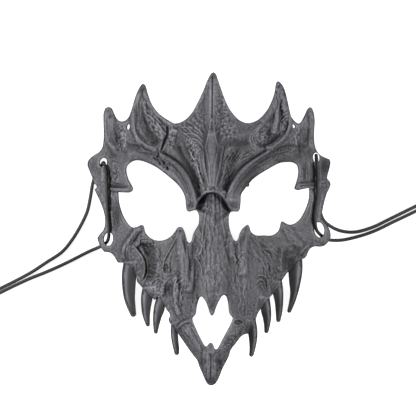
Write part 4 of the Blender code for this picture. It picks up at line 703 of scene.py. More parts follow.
    "right arc, inner": ([(26.2, -32.6), (27.2, -31), (28, -32.6), (29.6, -36)], 0.65, 0.65, 0.8),
    "right curl": ([(33.4, -32), (34, -30.4), (35.6, -30.8), (35.4, -32.6)], 0.6, 0.6, 0.5),
    "right jaw rim": ([(42.6, -25.4), (40, -29), (37.4, -32.6), (34.6, -36.8), (31, -39.8), (27.8, -44.4),
        (25, -49)], 0.6, 0.9, 0.5),
    "left jaw joint": ([(-20.4, -58.6), (-18.8, -55.4), (-16.2, -53.2), (-12.6, -52.6)], 0.8, 0.9, 0.6),
    "left jaw joint shade": ([(-21.4, -56.6), (-19.4, -53.8), (-16.4, -51.8), (-13, -51.2)], 0.9, 0.9, -0.6),
    "left jaw arm line": ([(-15.4, -55.4), (-11.4, -62.4), (-6.6, -71)], 0.8, 0.7, 0.35),
    "left jaw arm groove": ([(-13.4, -55), (-9.6, -62), (-5.4, -70)], 0.6, 0.6, -0.4),
    "left jaw arm second groove": ([(-17, -57.4), (-13.2, -63.4), (-8.6, -70.6)], 0.6, 0.6, -0.35),
    "right jaw joint": ([(19.8, -58), (17.8, -55.8), (16.6, -54)], 0.8, 0.8, 0.4),
    "right jaw arm line": ([(14.6, -57.6), (10.6, -63.6), (6.6, -70)], 0.7, 0.7, 0.3),
    "chin groove": ([(-1.2, -70.6), (-1.3, -78), (-1.1, -87)], 0.6, 0.6, -0.8),
    "chin band": ([(-2.9, -69), (-3.1, -78), (-2.3, -87)], 1.0, 1.1, 0.5),
    "chin right band": ([(1, -71), (0.8, -78), (0.4, -86)], 1.0, 1.0, 0.3),
    "tooth, left side": ([(-4.6, -37), (-3, -41), (-1.9, -46)], 0.7, 0.7, 0.35),
    "tooth, right side": ([(3.6, -36), (2.2, -40), (0.8, -45.6)], 0.7, 0.7, 0.35),
}
# Small bumps: x, y, radius and rise.
LUMPS = [
    (-22.3, 56, 2.4, 0.9), (-23.6, 52, 1.8, 0.6), (-21.4, 49, 1.8, 0.4), (-13, 58.4, 1.6, 0.4),
    (-11, 63, 1.8, 0.4), (-38.2, 68, 1.5, 0.4), (-37, 63, 1.6, 0.6), (-34.6, 57.4, 1.6, 0.5),
    (-31.6, 55, 1.5, 0.4), (-29.2, 52.4, 1.4, 0.6), (28.4, 52.6, 2.0, 0.5), (26.6, 50.6, 1.4, 0.4),
    (40.9, 67.6, 1.0, 0.6), (41.8, 64.6, 1.0, 0.5), (41.1, 61.2, 1.1, 0.6), (40.6, 57.4, 1.2, 0.6),
    (40.2, 71.4, 1.0, 0.8), (37.6, 81, 0.9, 0.4), (37.4, 77, 0.9, 0.4), (39, 77.4, 0.8, 0.4),
    (6.8, 21.6, 1.5, 0.8), (2.4, 23.4, 1.2, 0.6), (-5.2, 23.4, 1.3, 0.7), (-3, 22.8, 1.1, 0.6),
    (-12.4, 43.6, 1.2, 0.7), (-10.4, 40.2, 1.2, 0.6), (-8.6, 36, 1.0, 0.5), (-55, 57, 1.2, 0.8),
    (-52, 52.6, 1.4, 0.9), (-51, 48.4, 1.4, 0.7), (-53.4, 46, 1.2, 0.4), (-57, 34, 1.5, 0.5),
    (-56.6, 30.4, 1.4, 0.6), (48.6, 44, 1.0, 0.5), (49.4, 53, 1.2, 0.5), (47.6, 49, 1.1, 0.5),
    (-46.4, -10.6, 0.8, 0.6), (-46, -16, 1.2, 0.4), (-36.4, -11.6, 1.0, 0.7), (-34.7, -24, 0.9, 0.9),
    (-33.4, -21.8, 0.8, 0.6), (-25.1, -23.4, 1.2, 1.3), (-24.8, -21, 0.8, 0.6), (-23.4, -5.6, 1.0, 0.5),
    (-20.3, -13.6, 1.6, 0.4), (-20.4, -17, 1.4, 0.4), (-19.6, -27.6, 1.3, 0.7), (-17.8, -29.4, 1.2, 0.6),
    (-22.4, -28.6, 1.0, 0.4), (-11.9, -22, 0.9, 0.35), (-11.5, -25.6, 0.9, 0.35), (-11.8, -29, 0.8, 0.25),
    (17, -13, 1.0, 0.5), (17.2, -16.4, 1.1, 0.6), (17, -19.6, 1.0, 0.5), (27, -17, 1.2, 0.5),
    (32.8, -17.4, 1.1, 0.5), (42, -1, 1.4, 0.4), (37, -4, 1.0, 0.4), (20.2, 25, 0.9, 0.6),
]
# Patches of knotted relief: centre, half length, half width, the patch's lean, the grain's lean, how far
# apart its crests lie, how many times longer they are, and rise.
KNOTTED = [
    ((-33.6, 62), 14.5, 4.2, 122, 118, 1.5, 2.0, 1.0), ((-42, 70), 7, 2.0, 95, 95, 1.0, 3.0, 0.3),
    ((-22.8, 52.4), 8.5, 3.6, 95, 80, 1.8, 1.5, 0.9), ((-11, 60), 9.5, 5.0, 20, 140, 1.6, 2.2, 0.55),
    ((-11, 45.6), 8.5, 4.6, 112, 60, 1.2, 1.6, 0.85), ((-9.4, 33), 12, 2.8, 110, 105, 1.3, 1.6, 1.0),
    ((-3.6, 34), 13, 2.0, 96, 94, 0.9, 3.5, 0.35), ((5.4, 68), 15, 4.6, 98, 70, 1.5, 1.2, 0.5),
    ((7.6, 56.4), 7.5, 5.0, 0, 60, 1.5, 1.4, 0.5), ((11.6, 42), 6.5, 4.6, 45, 124, 1.0, 2.0, 0.5),
    ((19, 41.4), 6.5, 3.2, 40, 35, 1.3, 2.5, 0.5), ((7.6, 31), 12, 3.8, 72, 75, 1.3, 2.2, 0.6),
    ((-52.6, 52), 10, 4.2, 100, 95, 1.5, 1.4, 0.9), ((48.6, 51), 9.5, 4.6, 88, 95, 1.4, 2.2, 0.5),
    ((-56.6, 32), 8, 3.8, 90, 80, 1.3, 1.6, 0.8), ((-58.6, 39), 6.5, 3.4, 160, 150, 1.6, 1.5, 0.4),
    ((40.6, 66), 13, 2.6, 94, 120, 1.5, 1.2, 0.5), ((28, 52.6), 6.4, 4.6, 60, 40, 1.1, 1.4, 1.0),
    ((35.8, 65), 12, 2.4, 93, 92, 0.9, 5.0, 0.4), ((38, 79), 5, 2.2, 90, 60, 1.1, 1.2, 0.5),
    ((28, 35.2), 8, 2.2, 35, 60, 1.4, 1.4, 0.55), ((-27.4, 37), 8, 3.2, 145, 60, 1.4, 1.3, 0.9),
    ((-38, -7.6), 7.5, 4.4, 150, 60, 1.3, 1.4, 0.6), ((-31, -17), 10, 4.6, 100, 80, 1.6, 1.5, 0.75),
    ((-33, -31), 8, 5.4, 140, 70, 1.4, 1.3, 0.9), ((-44, -18), 9.5, 4.8, 115, 60, 1.6, 2.0, 0.25),
    ((-20, -38), 11, 5.0, 95, 85, 1.5, 2.2, 0.6), ((-20.6, -28), 6.5, 4.6, 20, 60, 1.5, 1.2, 0.8),
    ((-20, -14), 9, 4.4, 95, 90, 2.2, 2.0, 0.3), ((0, -16), 31, 12, 90, 90, 1.8, 2.8, 0.5),
    ((0.5, 9), 12, 7, 90, 90, 1.5, 2.6, 0.5), ((16, -30), 17, 7, 90, 87, 1.8, 3.2, 0.5),
    ((27, -13), 12, 8.6, 0, 125, 1.8, 2.6, 0.45), ((32, -25), 9, 5.6, 90, 100, 1.4, 2.2, 0.5),
    ((46, -4), 11, 8, 0, 150, 2.2, 2.0, 0.3), ((-9, -44), 8, 4.6, 90, 92, 1.4, 3.0, 0.4),
    ((18, -44), 8, 5, 90, 85, 1.5, 3.0, 0.4), ((-58, 6), 15, 5, 78, 80, 1.3, 4.0, 0.35),
    ((60, 8), 15, 5, 100, 100, 1.3, 4.0, 0.3), ((-12, -62), 12, 4.4, 122, 121, 1.2, 4.0, 0.3),
    ((12, -61), 12, 4.6, 58, 70, 1.3, 1.2, 0.45), ((-1, -80), 10, 5, 90, 92, 1.2, 4.0, 0.25),
]
# Patches of short parallel strokes: centre, half length, half width, the patch's lean, the strokes' lean, how
# far apart they lie, and rise.
HATCHED = [
    ((11.4, 42), 6.5, 4.4, 45, 58, 1.45, 0.5), ((18.4, 40.6), 5.5, 3.2, 42, 30, 1.4, 0.35),
    ((41, 64), 11, 2.4, 95, 32, 1.8, 0.35), ((-33.6, -32), 6.5, 4.2, 140, 55, 1.5, 0.15),
    ((31.4, -24), 7, 3.4, 100, 105, 1.5, 0.45), ((-12.6, 56), 7, 5, 20, 150, 1.6, 0.2),
]
# Places where shade is painted into the colour, darker in the hollows, steps and valleys that fall in shade,
# or with a share below zero painted lighter where crests and lumps catch the light: centre, half length,
# half width, lean in degrees and share.
PAINTED_SHADE_AND_LIGHT = [
    ((-57, 54), 13, 5, 106, 0.4), ((-52, 51), 8, 3.4, 95, -0.6), ((-40.6, 57), 14, 4.6, 116, 0.22),
    ((-35.4, 51), 8, 3.6, 150, 0.4), ((-35, 62.6), 14, 3.4, 122, -0.8), ((-27.4, 51), 6, 2.4, 80, 0.4),
    ((-22.8, 55), 4, 2.6, 90, -0.6), ((-18, 45), 12, 6.4, 118, 0.75), ((-12.4, 33.6), 11, 2.8, 118, 0.48),
    ((-10, 38), 15, 3, 112, -0.8), ((-1, 46.6), 8, 2.2, 92, 0.25), ((6, 42), 15, 1.8, 82, 0.25),
    ((15, 49), 8, 3.6, 0, 0.5), ((16, -28), 15, 7, 90, -0.2), ((11, 41), 11, 6, 45, 0.5),
    ((0, -27), 15, 12, 90, -0.15), ((16, -37), 13, 6, 90, -0.15), ((-11, 52), 9, 6.5, 20, -0.35),
    ((8.6, 57), 9, 5.5, 0, -0.6), ((-20, -37), 12, 4.8, 90, -0.3), ((-1.4, -79), 10, 5, 90, -0.3),
    ((-11, -63), 11, 4, 120, -0.2), ((9.6, -63), 10, 4, 60, 0.2), ((19, 46), 6, 4, 30, 0.35),
    ((29, 53), 8.5, 7, 50, -0.2), ((28, 52.6), 6.5, 4.6, 50, -0.4), ((37.4, 52.6), 9, 2.4, 45, 0.4),
    ((42, 66), 12, 2.6, 95, -0.2), ((36.2, 65), 12, 2.2, 94, -0.3), ((56.8, 56), 12, 3.4, 92, 0.3),
    ((48.6, 52), 8, 3, 90, -0.15), ((58.4, 33), 9, 3.4, 90, 0.45), ((51.8, 33), 6, 3, 90, 0.2),
    ((-59.6, 33), 9, 2.4, 90, 0.2), ((-57, 24.9), 8, 2.2, 0, 1.5), ((56, 25.4), 6, 1.8, 0, 0.7),
    ((-28, 37), 6, 3, 135, 0.35), ((-38, 41.6), 18, 4.8, 164, 0.55), ((-20, 28), 18, 5.0, 126, 0.3),
    ((21, 30), 18, 5.6, 48, 0.9), ((38, 41), 15, 5.4, 10, 0.65), ((-57, 43), 9, 4.6, 20, 0.5),
    ((-57, 33), 8, 4, 90, 0.15), ((54, 44), 10, 5, 0, 0.55), ((64.6, 36), 9, 4.6, 90, 0.75),
    ((-68, 36), 8, 4.6, 60, 0.12), ((-6.6, 14), 7, 2.2, 62, 0.3), ((8.4, 14), 7, 2.6, 122, 0.45),
    ((0.2, 8), 9, 3, 90, 0.1), ((-36.2, -19), 15, 4.6, 92, 1.5), ((-38.4, -9), 6, 3.6, 150, 0.35),
    ((-26.8, -22.4), 5, 2.2, 86, 0.3), ((-24.6, -34.6), 7, 3.0, 86, 0.8), ((-33.4, -33), 7, 4, 140, -0.6),
    ((-14, -19), 15, 1.6, 90, -0.15), ((-20.4, -29), 5, 3, 90, -0.25), ((44, -15), 12, 7.6, 80, 0.65),
    ((22.6, -60), 11, 3.2, 90, 0.4), ((-6, 72), 20, 8, 76, -0.55), ((5.6, 72), 20, 8, 104, -0.5),
    ((46.4, -35), 17, 4.4, 97, 0.35), ((38.4, -44), 13, 3.4, 92, 0.4), ((30, -53), 10, 3.4, 90, 0.4),
    ((33, -28), 8, 4.6, 110, 0.25), ((-20, -13.6), 7, 2.6, 90, -0.1), ((-18.4, -32), 7, 3, 90, -0.5),
    ((14.4, -11), 8, 2.0, 104, 0.2), ((15, -53.4), 3.4, 2, 0, 0.45), ((30, -6), 12, 4, 0, 0.4),
    ((-55.4, 9), 14, 4, 82, 0.9), ((57, 9), 13, 2.2, 95, 0.3), ((-48, -14), 6, 3, 110, 0.12),
    ((-31, -12), 9, 5, 100, 0.3), ((-7, -14), 7, 2, 70, -0.2), ((17.4, -4.4), 7, 2.2, 68, 0.6),
    ((-15.8, -7.5), 8.5, 2.0, 106, 0.6),
]
# Places that are smoother than the rest: centre, half length, half width, lean in degrees and share.
SMOOTHED = [
    ((-62, 62), 14, 4, 90, 0.7), ((-41.6, 78), 9, 5, 90, 0.6), ((-45, 58), 16, 3, 105, 0.7),
    ((-3.4, 76), 17, 4, 75, 0.6), ((57, 64), 12, 4, 90, 0.7), ((-68, 36), 12, 7, 90, 1.0),
    ((65, 36), 8, 4, 90, 0.5), ((-20, 28), 18, 4, 126, 0.5), ((21, 30), 18, 4, 48, 0.3),
    ((-2, -82), 9, 6, 90, 0.5), ((-60, 8), 16, 4, 84, 0.5), ((60, 8), 16, 4, 96, 0.5),
    ((43.4, -15), 11, 7.4, 80, 1.2), ((-60, -6), 7, 7, 0, 0.5), ((62, -2), 7, 7, 0, 0.3),
    ((24, 64), 12, 5, 40, 0.5), ((-20, 66), 12, 5, 140, 0.3), ((43.6, 62), 16, 2.4, 98, 0.5),
]
# Over what distance each kind of carving fades in: from a line's ends, or from an oval's edge, where 1 is
# its middle. A ridge keeps RIDGE_END of its rise at its ends.
RIDGE_END = 0.25
SHELF_FADE, CREST_FADE = 3.0, 1.6
KNOTTED_FADE, HATCHED_FADE = 0.8, 0.6
# Three noises make knotted relief: (how fast it changes, its share).
WINDING, MIDDLING, SMALL = (0.7, 0.5), (1.15, 0.6), (2.1, 0.55)
WINDING_WIDTH = 0.36
# The fine skin that the mould left everywhere: the size of its grain, of its pits and of the patches where
# both are strongest, and their rise.
SKIN_WIDTH, SKIN_LENGTH, SKIN_RISE = 1.0, 2.6, 0.20
PIT_SIZE, PIT_RISE = 1.25, 0.17
PATCH_SIZE = 15
# A fang's crest runs this share of its half width towards the outer side, and stands this far up.
FANG_CREST_SHIFT = 0.38
FANG_CREST_RISE = 1.2
# Painted light and shade on a fang: how much darker it is painted from its inner side, -1, which is in
# shade, to its outer side, 1, which catches the light, how far from its middle line, and over what share
# of its length this sets in.
FANG_PAINTED_SHADE_AND_LIGHT = (-1.0, -0.5, 0.0, 0.25, 0.5, 0.8, 1.0), (0.6, 0.62, 0.45, 0.0, -0.42, 0.1, 0.55)
FANG_REACH = 4.4
FANG_ROOT = 0.25


def closed_loop(stretches, tolerance, longest):
    """One closed outline from its stretches."""
    starts = [points[0] for points in stretches.values()]
    curves = [
        curve_through([*points, following], OUTLINE_STEP)
        for points, following in zip(stretches.values(), starts[1:] + starts[:1])
    ]
    return np.vstack([thinned(curve, tolerance, longest)[:-1] for curve in curves])


def oval_loop(centre, half_width, half_height, lean, longest):
    """An oval hole's outline."""
    count = max(10, math.ceil(2 * math.pi * max(half_width, half_height) / longest))
    turn = np.linspace(0, 2 * math.pi, count, endpoint=False)
    c, s = math.cos(math.radians(lean)), math.sin(math.radians(lean))
    across, up = half_width * np.cos(turn), half_height * np.sin(turn)
    return np.stack([centre[0] + across * c - up * s, centre[1] + across * s + up * c], axis=1)


def fang_loop(stations, tolerance, longest):
    """A fang's outline: down one side of its middle line, round the tip and up the other side."""
    line = curve_through(stations, FANG_STEP)
    along = np.gradient(line[:, :2], axis=0)
    along /= np.linalg.norm(along, axis=1)[:, None]
    across = left_of(along)
    left = line[:, :2] + across * line[:, 2:]
    right = line[:, :2] - across * line[:, 2:]
    turn = np.linspace(math.pi / 2, -math.pi / 2, 9)[1:-1, None]
    tip = line[-1, :2] + line[-1, 2] * (np.sin(turn) * across[-1] + np.cos(turn) * along[-1])
    return np.vstack([thinned(line, tolerance, longest) for line in (left, tip, right[::-1])])


def left_of(along):
    """Directions a quarter turn to the left of the given ones."""
    return np.stack([-along[:, 1], along[:, 0]], axis=1)


def nearest_on(line, x, y):
    """(distance, side, share of the length) of each point against a line; side is above 0 on its left."""
    start, chord = line[:-1, :2], np.diff(line[:, :2], axis=0)
    lengths = np.linalg.norm(chord, axis=1)
    dx, dy = x[:, None] - start[:, 0], y[:, None] - start[:, 1]
    t = np.clip((dx * chord[:, 0] + dy * chord[:, 1]) / lengths**2, 0, 1)
    away = np.hypot(dx - t * chord[:, 0], dy - t * chord[:, 1])
    i = away.argmin(axis=1)
    row = np.arange(len(x))
    side = chord[i, 0] * dy[row, i] - chord[i, 1] * dx[row, i]
    share = (np.concatenate([[0], np.cumsum(lengths)])[i] + t[row, i] * lengths[i]) / lengths.sum()
    return away[row, i], np.sign(side), share


def near_box(line, x, y, margin):
    """Which points lie in the line's box grown by margin, as their numbers."""
    low, high = line[:, :2].min(axis=0) - margin, line[:, :2].max(axis=0) + margin
    return np.flatnonzero((x > low[0]) & (x < high[0]) & (y > low[1]) & (y < high[1]))


def along_line(x, y, points, step, margin):
    """(the numbers of the points near a line, their distance, side and share of its length, its length)."""
    line = curve_through(points, step)
    near = near_box(line, x, y, margin)
    return near, *nearest_on(line, x[near], y[near]), line_lengths(line)[-1]


def laid(x, near, values):
    """The values at the numbered points, and 0 at the rest."""
    made = np.zeros_like(x)
    made[near] = values
    return made


def turned(x, y, centre, lean):
    """Places seen from a centre, along and across a lean in degrees."""
    c, s = math.cos(math.radians(lean)), math.sin(math.radians(lean))
    dx, dy = x - centre[0], y - centre[1]
    return dx * c + dy * s, dy * c - dx * s


def oval_share(x, y, centre, half_length, half_width, lean):
    """The square of how far out each place is in an oval: 0 in its middle and 1 on its edge."""
    along, across = turned(x, y, centre, lean)
    return (along / half_length) ** 2 + (across / half_width) ** 2


def bell(squared):
    """1 in the middle, falling smoothly to 0 at 1, from the square of how far out a place is."""
    return np.clip(1 - squared, 0, 1) ** 1.5


def ends_fade(share, length, fade):
    """1 along a carved line, falling to 0 over the fade distance at both ends."""
    return smooth_step(share * length / fade) * smooth_step((1 - share) * length / fade)


def ridge(x, y, points, half_width, rise):
    """A rounded crest, or with a negative rise a groove, along the points."""
    near, away, _, share, length = along_line(x, y, points, BROAD_STEP, half_width)
    kept = RIDGE_END + (1 - RIDGE_END) * ends_fade(share, length, half_width)
    return laid(x, near, rise * bell((away / half_width) ** 2) * kept)


def hollow(x, y, centre, half_length, half_width, lean, depth):
    """An oval dish."""
    return -depth * bell(oval_share(x, y, centre, half_length, half_width, lean))


def shelf(x, y, points, depth, reach, lead):
    """A step down on the left of the line, which rises back to the surface over the reach."""
    near, away, side, share, length = along_line(x, y, points, BROAD_STEP, reach)
    signed = away * side + lead
    drop = smooth_step(signed / SHELF_STEP) * (1 - smooth_step(signed / reach))
    return laid(x, near, -depth * drop * ends_fade(share, length, SHELF_FADE))


def lump(x, y, centre_x, centre_y, radius, rise):
    """A round bump."""
    return rise * bell(((x - centre_x) ** 2 + (y - centre_y) ** 2) / radius**2)


def crest(x, y, points, left_width, right_width, rise):
    """A crisp crest along the points, or with a negative rise a groove, with its own width on each flank."""
    near, away, side, share, length = along_line(x, y, points, FINE_STEP, max(left_width, right_width))
    flank = np.clip(1 - away / np.where(side > 0, left_width, right_width), 0, 1) ** 2
    return laid(x, near, rise * flank * ends_fade(share, length, CREST_FADE))


def plate(x, y, points, height, slope):
    """A raised plate inside the points, or with a negative height a recess, with a slope at its edge."""
    loop = curve_through([*points, points[0]], FINE_STEP)[:-1]
    near = near_box(loop, x, y, 0)
    near = near[inside_loop(loop, x[near], y[near])]
    return laid(x, near, height * smooth_step(to_loop(loop, x[near], y[near]) / slope))


def noise_at(u, v, seed):
    """Smooth noise from -1 to 1 at each place."""
    return np.array([noise.noise((a, b, seed)) for a, b in zip(u, v)])


def knotted(x, y, centre, half_length, half_width, lean, grain_lean, apart, stretch, rise, seed):
    """A patch of winding crests that fades out towards an oval."""
    squared = oval_share(x, y, centre, half_length, half_width, lean)
    near = np.flatnonzero(squared < 1)
    along, across = turned(x[near], y[near], centre, grain_lean)
    u, v = across / apart, along / (apart * stretch)
    u = u + 0.6 * noise_at(0.5 * u, 0.5 * v, seed + 0.5)
    v = v + 0.4 * noise_at(0.5 * v, 0.5 * u, seed + 7.5)
    winding, middling, small = (
        noise_at(rate * u, rate * v, seed + shift)
        for (rate, _), shift in ((WINDING, 0), (MIDDLING, 3.5), (SMALL, 5.5))
    )
    winding = np.clip(0.5 - np.abs(winding) / WINDING_WIDTH, -0.7, 0.5)
    height = WINDING[1] * winding + MIDDLING[1] * middling + SMALL[1] * small
    return laid(x, near, rise * height * smooth_step((1 - squared[near]) / KNOTTED_FADE))


def hatched(x, y, centre, half_length, half_width, lean, stroke_lean, apart, rise, seed):
    """A patch of short parallel strokes that fades out towards an oval."""
    squared = oval_share(x, y, centre, half_length, half_width, lean)
    near = np.flatnonzero(squared < 1)
    along, across = turned(x[near], y[near], centre, stroke_lean)
    bend = noise_at(0.25 * across / apart, 0.25 * along / apart, seed)
    wave = 1 - 2 * np.abs(np.sin(math.pi * (across / apart + 0.7 * bend)))
    breaks = smooth_step(0.75 + 1.6 * noise_at(0.5 * across / apart, 0.3 * along / apart, seed + 2.5))
    return laid(x, near, rise * wave * breaks * smooth_step((1 - squared[near]) / HATCHED_FADE))


def skin(x, y):
    """Fine grain that flows down the face, and small pits."""
    u, v = x / SKIN_WIDTH, y / SKIN_LENGTH
    made = SKIN_RISE * noise_at(u + 0.3 * np.sin(y / 9), v + 0.025 * u, 3.5)
    made += 0.6 * SKIN_RISE * noise_at(2.1 * u, 2.1 * v, 4.5)
    patches = smooth_step(0.55 + 1.5 * noise_at(x / PATCH_SIZE, y / PATCH_SIZE, 5.5))
    return made * (0.3 + 0.7 * patches) + PIT_RISE * noise_at(x / PIT_SIZE, y / PIT_SIZE, 9.5) * patches


def face_curve(x, y):
    """The face's plain curved height over the table, in metres, at landmark places."""
    reach = np.where(x < 0, smooth_table(LEFT_REACH, y), smooth_table(RIGHT_REACH, y))
    return FACE_DEPTH * smooth_table(PROFILE, y) * (1 - (np.abs(x) / reach) ** SIDE_POWER)


def carving(x, y, lead=0.0):
    """The height that the carved forms add to the face's curve, in metres. Steps start the lead early."""
    made = sum(ridge(x, y, *values) for values in RIDGES.values())
    made = made + sum(hollow(x, y, *values) for values in HOLLOWS.values())
    made = made + sum(shelf(x, y, *values, lead) for values in SHELVES.values())
    return made * UNIT


def fine_carving(x, y):
    """The height that the finer carving adds to the front, in metres."""
    made = skin(x, y) + sum(lump(x, y, *values) for values in LUMPS)
    for shape, rows in ((plate, PLATES), (ridge, VALLEYS), (crest, CRESTS)):
        made = made + sum(shape(x, y, *values) for values in rows.values())
    for shape, rows, seed in ((knotted, KNOTTED, 40.0), (hatched, HATCHED, 7.0)):
        made = made + sum(shape(x, y, *values, seed + 11 * k) for k, values in enumerate(rows))
    return made * UNIT


def upright_wall(x, y):
    """The wall's thickness measured along Z, which grows as the face turns away."""
    d = 0.5
    slope_x = (face_curve(x + d, y) - face_curve(x - d, y)) / (2 * d * UNIT)
    slope_y = (face_curve(x, y + d) - face_curve(x, y - d)) / (2 * d * UNIT)
    return WALL * np.sqrt(1 + slope_x**2 + slope_y**2)


def edge_round(away):
    """0 at an edge, rising as a quarter circle to 1 at EDGE_ROUND from it."""
    inward = np.clip(away * UNIT / EDGE_ROUND, 0, 1)
    return np.sqrt(np.clip(1 - (1 - inward) ** 2, 0, 1))


def inside_loop(loop, x, y):
    """Which points lie inside a closed outline."""
    inside = np.zeros(len(x), bool)
    for (ax, ay), (bx, by) in zip(loop, np.roll(loop, -1, axis=0)):
        if ay != by:
            inside ^= ((ay > y) != (by > y)) & (x < (bx - ax) * (y - ay) / (by - ay) + ax)
    return inside


def to_loop(loop, x, y):
    """Each point's distance to a closed outline."""
    return nearest_on(np.vstack([loop, loop[:1]]), x, y)[0]


def edge_tree(loops):
    """A tree of closely spaced points on the loops, for distances to an edge."""
    spacing = 0.12
    points = []
    for loop in loops:
        for a, b in zip(loop, np.roll(loop, -1, axis=0)):
            count = max(1, math.ceil(np.linalg.norm(b - a) / spacing))
            points += [a + (b - a) * k / count for k in range(count)]
    tree = kdtree.KDTree(len(points))
    for i, point in enumerate(points):
        tree.insert((*point, 0), i)
    tree.balance()
    return tree


def edge_distance(tree, x, y):
    """Each point's distance to the loops of an edge tree."""
    return np.array([tree.find((px, py, 0))[2] for px, py in zip(x, y)])


class Outline:
    """The mask seen from the front: the shell, its openings and its fangs, as closed loops."""

    def __init__(self, tolerance, longest):
        self.shell = closed_loop(SHELL_OUTLINE, tolerance, longest)
        self.holes = [closed_loop(opening, tolerance, longest) for opening in (LEFT_EYE, RIGHT_EYE, MOUTH)]
        self.holes += [oval_loop(*oval, longest) for oval in [*CORD_HOLES.values(), *VENT_HOLES.values()]]
        self.fangs = {name: fang_loop(values[0], tolerance, longest) for name, values in FANGS.items()}
        self.loops = [self.shell, *self.holes, *self.fangs.values()]
        self.shell_tree = edge_tree([self.shell, *self.holes])
        self.all_tree = edge_tree(self.loops)
        corners = np.vstack(self.loops)
        self.low, self.high = corners.min(axis=0), corners.max(axis=0)
        self.middle = (self.low + self.high) / 2

    def in_shell(self, x, y):
        """Which points lie in the shell."""
        inside = inside_loop(self.shell, x, y)
        for hole in self.holes:
            inside &= ~inside_loop(hole, x, y)
        return inside

    def in_mask(self, x, y):
        """Which points lie in the shell or in a fang."""
        inside = self.in_shell(x, y)
        for fang in self.fangs.values():
            inside |= inside_loop(fang, x, y)
        return inside

    def well_inside(self, points, insets):
        """The points that lie in the mask, and not between an edge and the first inset."""
        points = points[self.in_mask(points[:, 0], points[:, 1])]
        return points[edge_distance(self.all_tree, points[:, 0], points[:, 1]) > 0.85 * insets[0]]


def fang_places(name, x, y):
    """(distance from a fang's middle line, its half width there, share of its length, how far outwards)."""
    line = curve_through(FANGS[name][0], FANG_STEP)
    away, side, share = nearest_on(line, x, y)
    lengths = line_lengths(line[:, :2])
    width = np.interp(share * lengths[-1], lengths, line[:, 2])
    return away, width, share, away / width * side * (1 if name.startswith("right") else -1)


def painted_shade_and_light_at(x, y):
    """How much shade is painted into the colour at landmark places, or painted light where it is below zero.
    """
    shade = -sum(hollow(x, y, *values) for values in PAINTED_SHADE_AND_LIGHT)
    for name, (stations, _, _) in FANGS.items():
        near = near_box(curve_through(stations, FANG_STEP), x, y, FANG_REACH)
        away, _, share, outward = fang_places(name, x[near], y[near])
        shade[near] += np.interp(outward, *FANG_PAINTED_SHADE_AND_LIGHT) * smooth_step(share / FANG_ROOT) * (away < FANG_REACH)
    return shade


def graininess(outline, x, y):
    """How rough the finish is at landmark places: 1 in the carved places, and near 0 on fangs and tips."""
    smooth = sum(-hollow(x, y, *values) for values in SMOOTHED)
    for loop in outline.fangs.values():
        near = near_box(loop, x, y, 0)
        smooth[near] += inside_loop(loop, x[near], y[near]) & ~outline.in_shell(x[near], y[near])
    return np.clip(1 - smooth, 0, 1)


def fang_heights(outline, name, x, y):
    """(the numbers of the points in the fang, its front height, its back height, distance to its edge)."""
    stations, set_back, tip_height = FANGS[name]
    loop = outline.fangs[name]
    near = near_box(loop, x, y, ON_EDGE)
    x, y = x[near], y[near]
    inside = inside_loop(loop, x, y) | (to_loop(loop, x, y) < ON_EDGE)
    near, x, y = near[inside], x[inside], y[inside]
    away, width, share, outward = fang_places(name, x, y)
    past = outward - FANG_CREST_SHIFT
    flank = np.where(past > 0, 1 - past / (1 - FANG_CREST_SHIFT), 1 + past / (1 + FANG_CREST_SHIFT))
    crest_height = FANG_CREST_RISE * width / 4 * np.clip(flank, 0, 1) ** 1.6 * UNIT
    tip = np.array(stations[-1:], float)[:, :2].T
    tip_drop = face_curve(*tip) - upright_wall(*tip) / 2 - (set_back + tip_height) * UNIT
    middle = face_curve(x, y) - upright_wall(x, y) / 2 - set_back * UNIT - tip_drop * share**FANG_SWEEP_POWER
    dome = width * np.sqrt(np.clip(1 - (away / width) ** 2, 0, 1)) * UNIT
    front, back = middle + FANG_FRONT * dome + crest_height, middle - FANG_BACK * dome
    return near, front, back, np.clip(width - away, 0, None)


def mask_heights(outline, x, y, on_border):
    """(front height, back height) of the mask at landmark places, in metres. They are one on the border."""
    edge = edge_distance(outline.shell_tree, x, y)
    in_shell = outline.in_shell(x, y) | (edge < ON_EDGE)
    face = face_curve(x, y)
    front = face + carving(x, y) + fine_carving(x, y)
    back = face + CARVING_THROUGH * carving(x, y, SHELF_BACK_LEAD) - upright_wall(x, y)
    middle, half = (front + back) / 2, (front - back) / 2 * edge_round(edge)
    front = np.where(in_shell, middle + half, -np.inf)
    back = np.where(in_shell, middle - half, np.inf)
    edge = np.where(in_shell, edge, 0)
    for name in FANGS:
        at, fang_front, fang_back, fang_edge = fang_heights(outline, name, x, y)
        front[at] = np.maximum(front[at], fang_front)
        back[at] = np.minimum(back[at], fang_back)
        edge[at] = np.maximum(edge[at], fang_edge)
    back = np.maximum(np.where(on_border, (front + back) / 2, back), 0)
    front = np.where(on_border, back, np.maximum(front, back + LEAST_WALL * edge_round(edge)))
    return front, back


def lattice(low, high, spacing):
    """A field of points in staggered rows."""
    rows = np.arange(low[1], high[1], spacing * math.sqrt(3) / 2)
    columns = np.arange(low[0], high[0], spacing)
    x = np.concatenate([columns + (k % 2) * spacing / 2 for k in range(len(rows))])
    return np.stack([x, np.repeat(rows, len(columns))], axis=1)


def inset_points(loops, inset):
    """Points set in from each loop's corners, on both its sides."""
    made = []
    for loop in loops:
        along = np.roll(loop, -1, axis=0) - np.roll(loop, 1, axis=0)
        along /= np.maximum(np.linalg.norm(along, axis=1), 1e-9)[:, None]
        made += [loop + left_of(along) * inset, loop - left_of(along) * inset]
    return np.vstack(made)


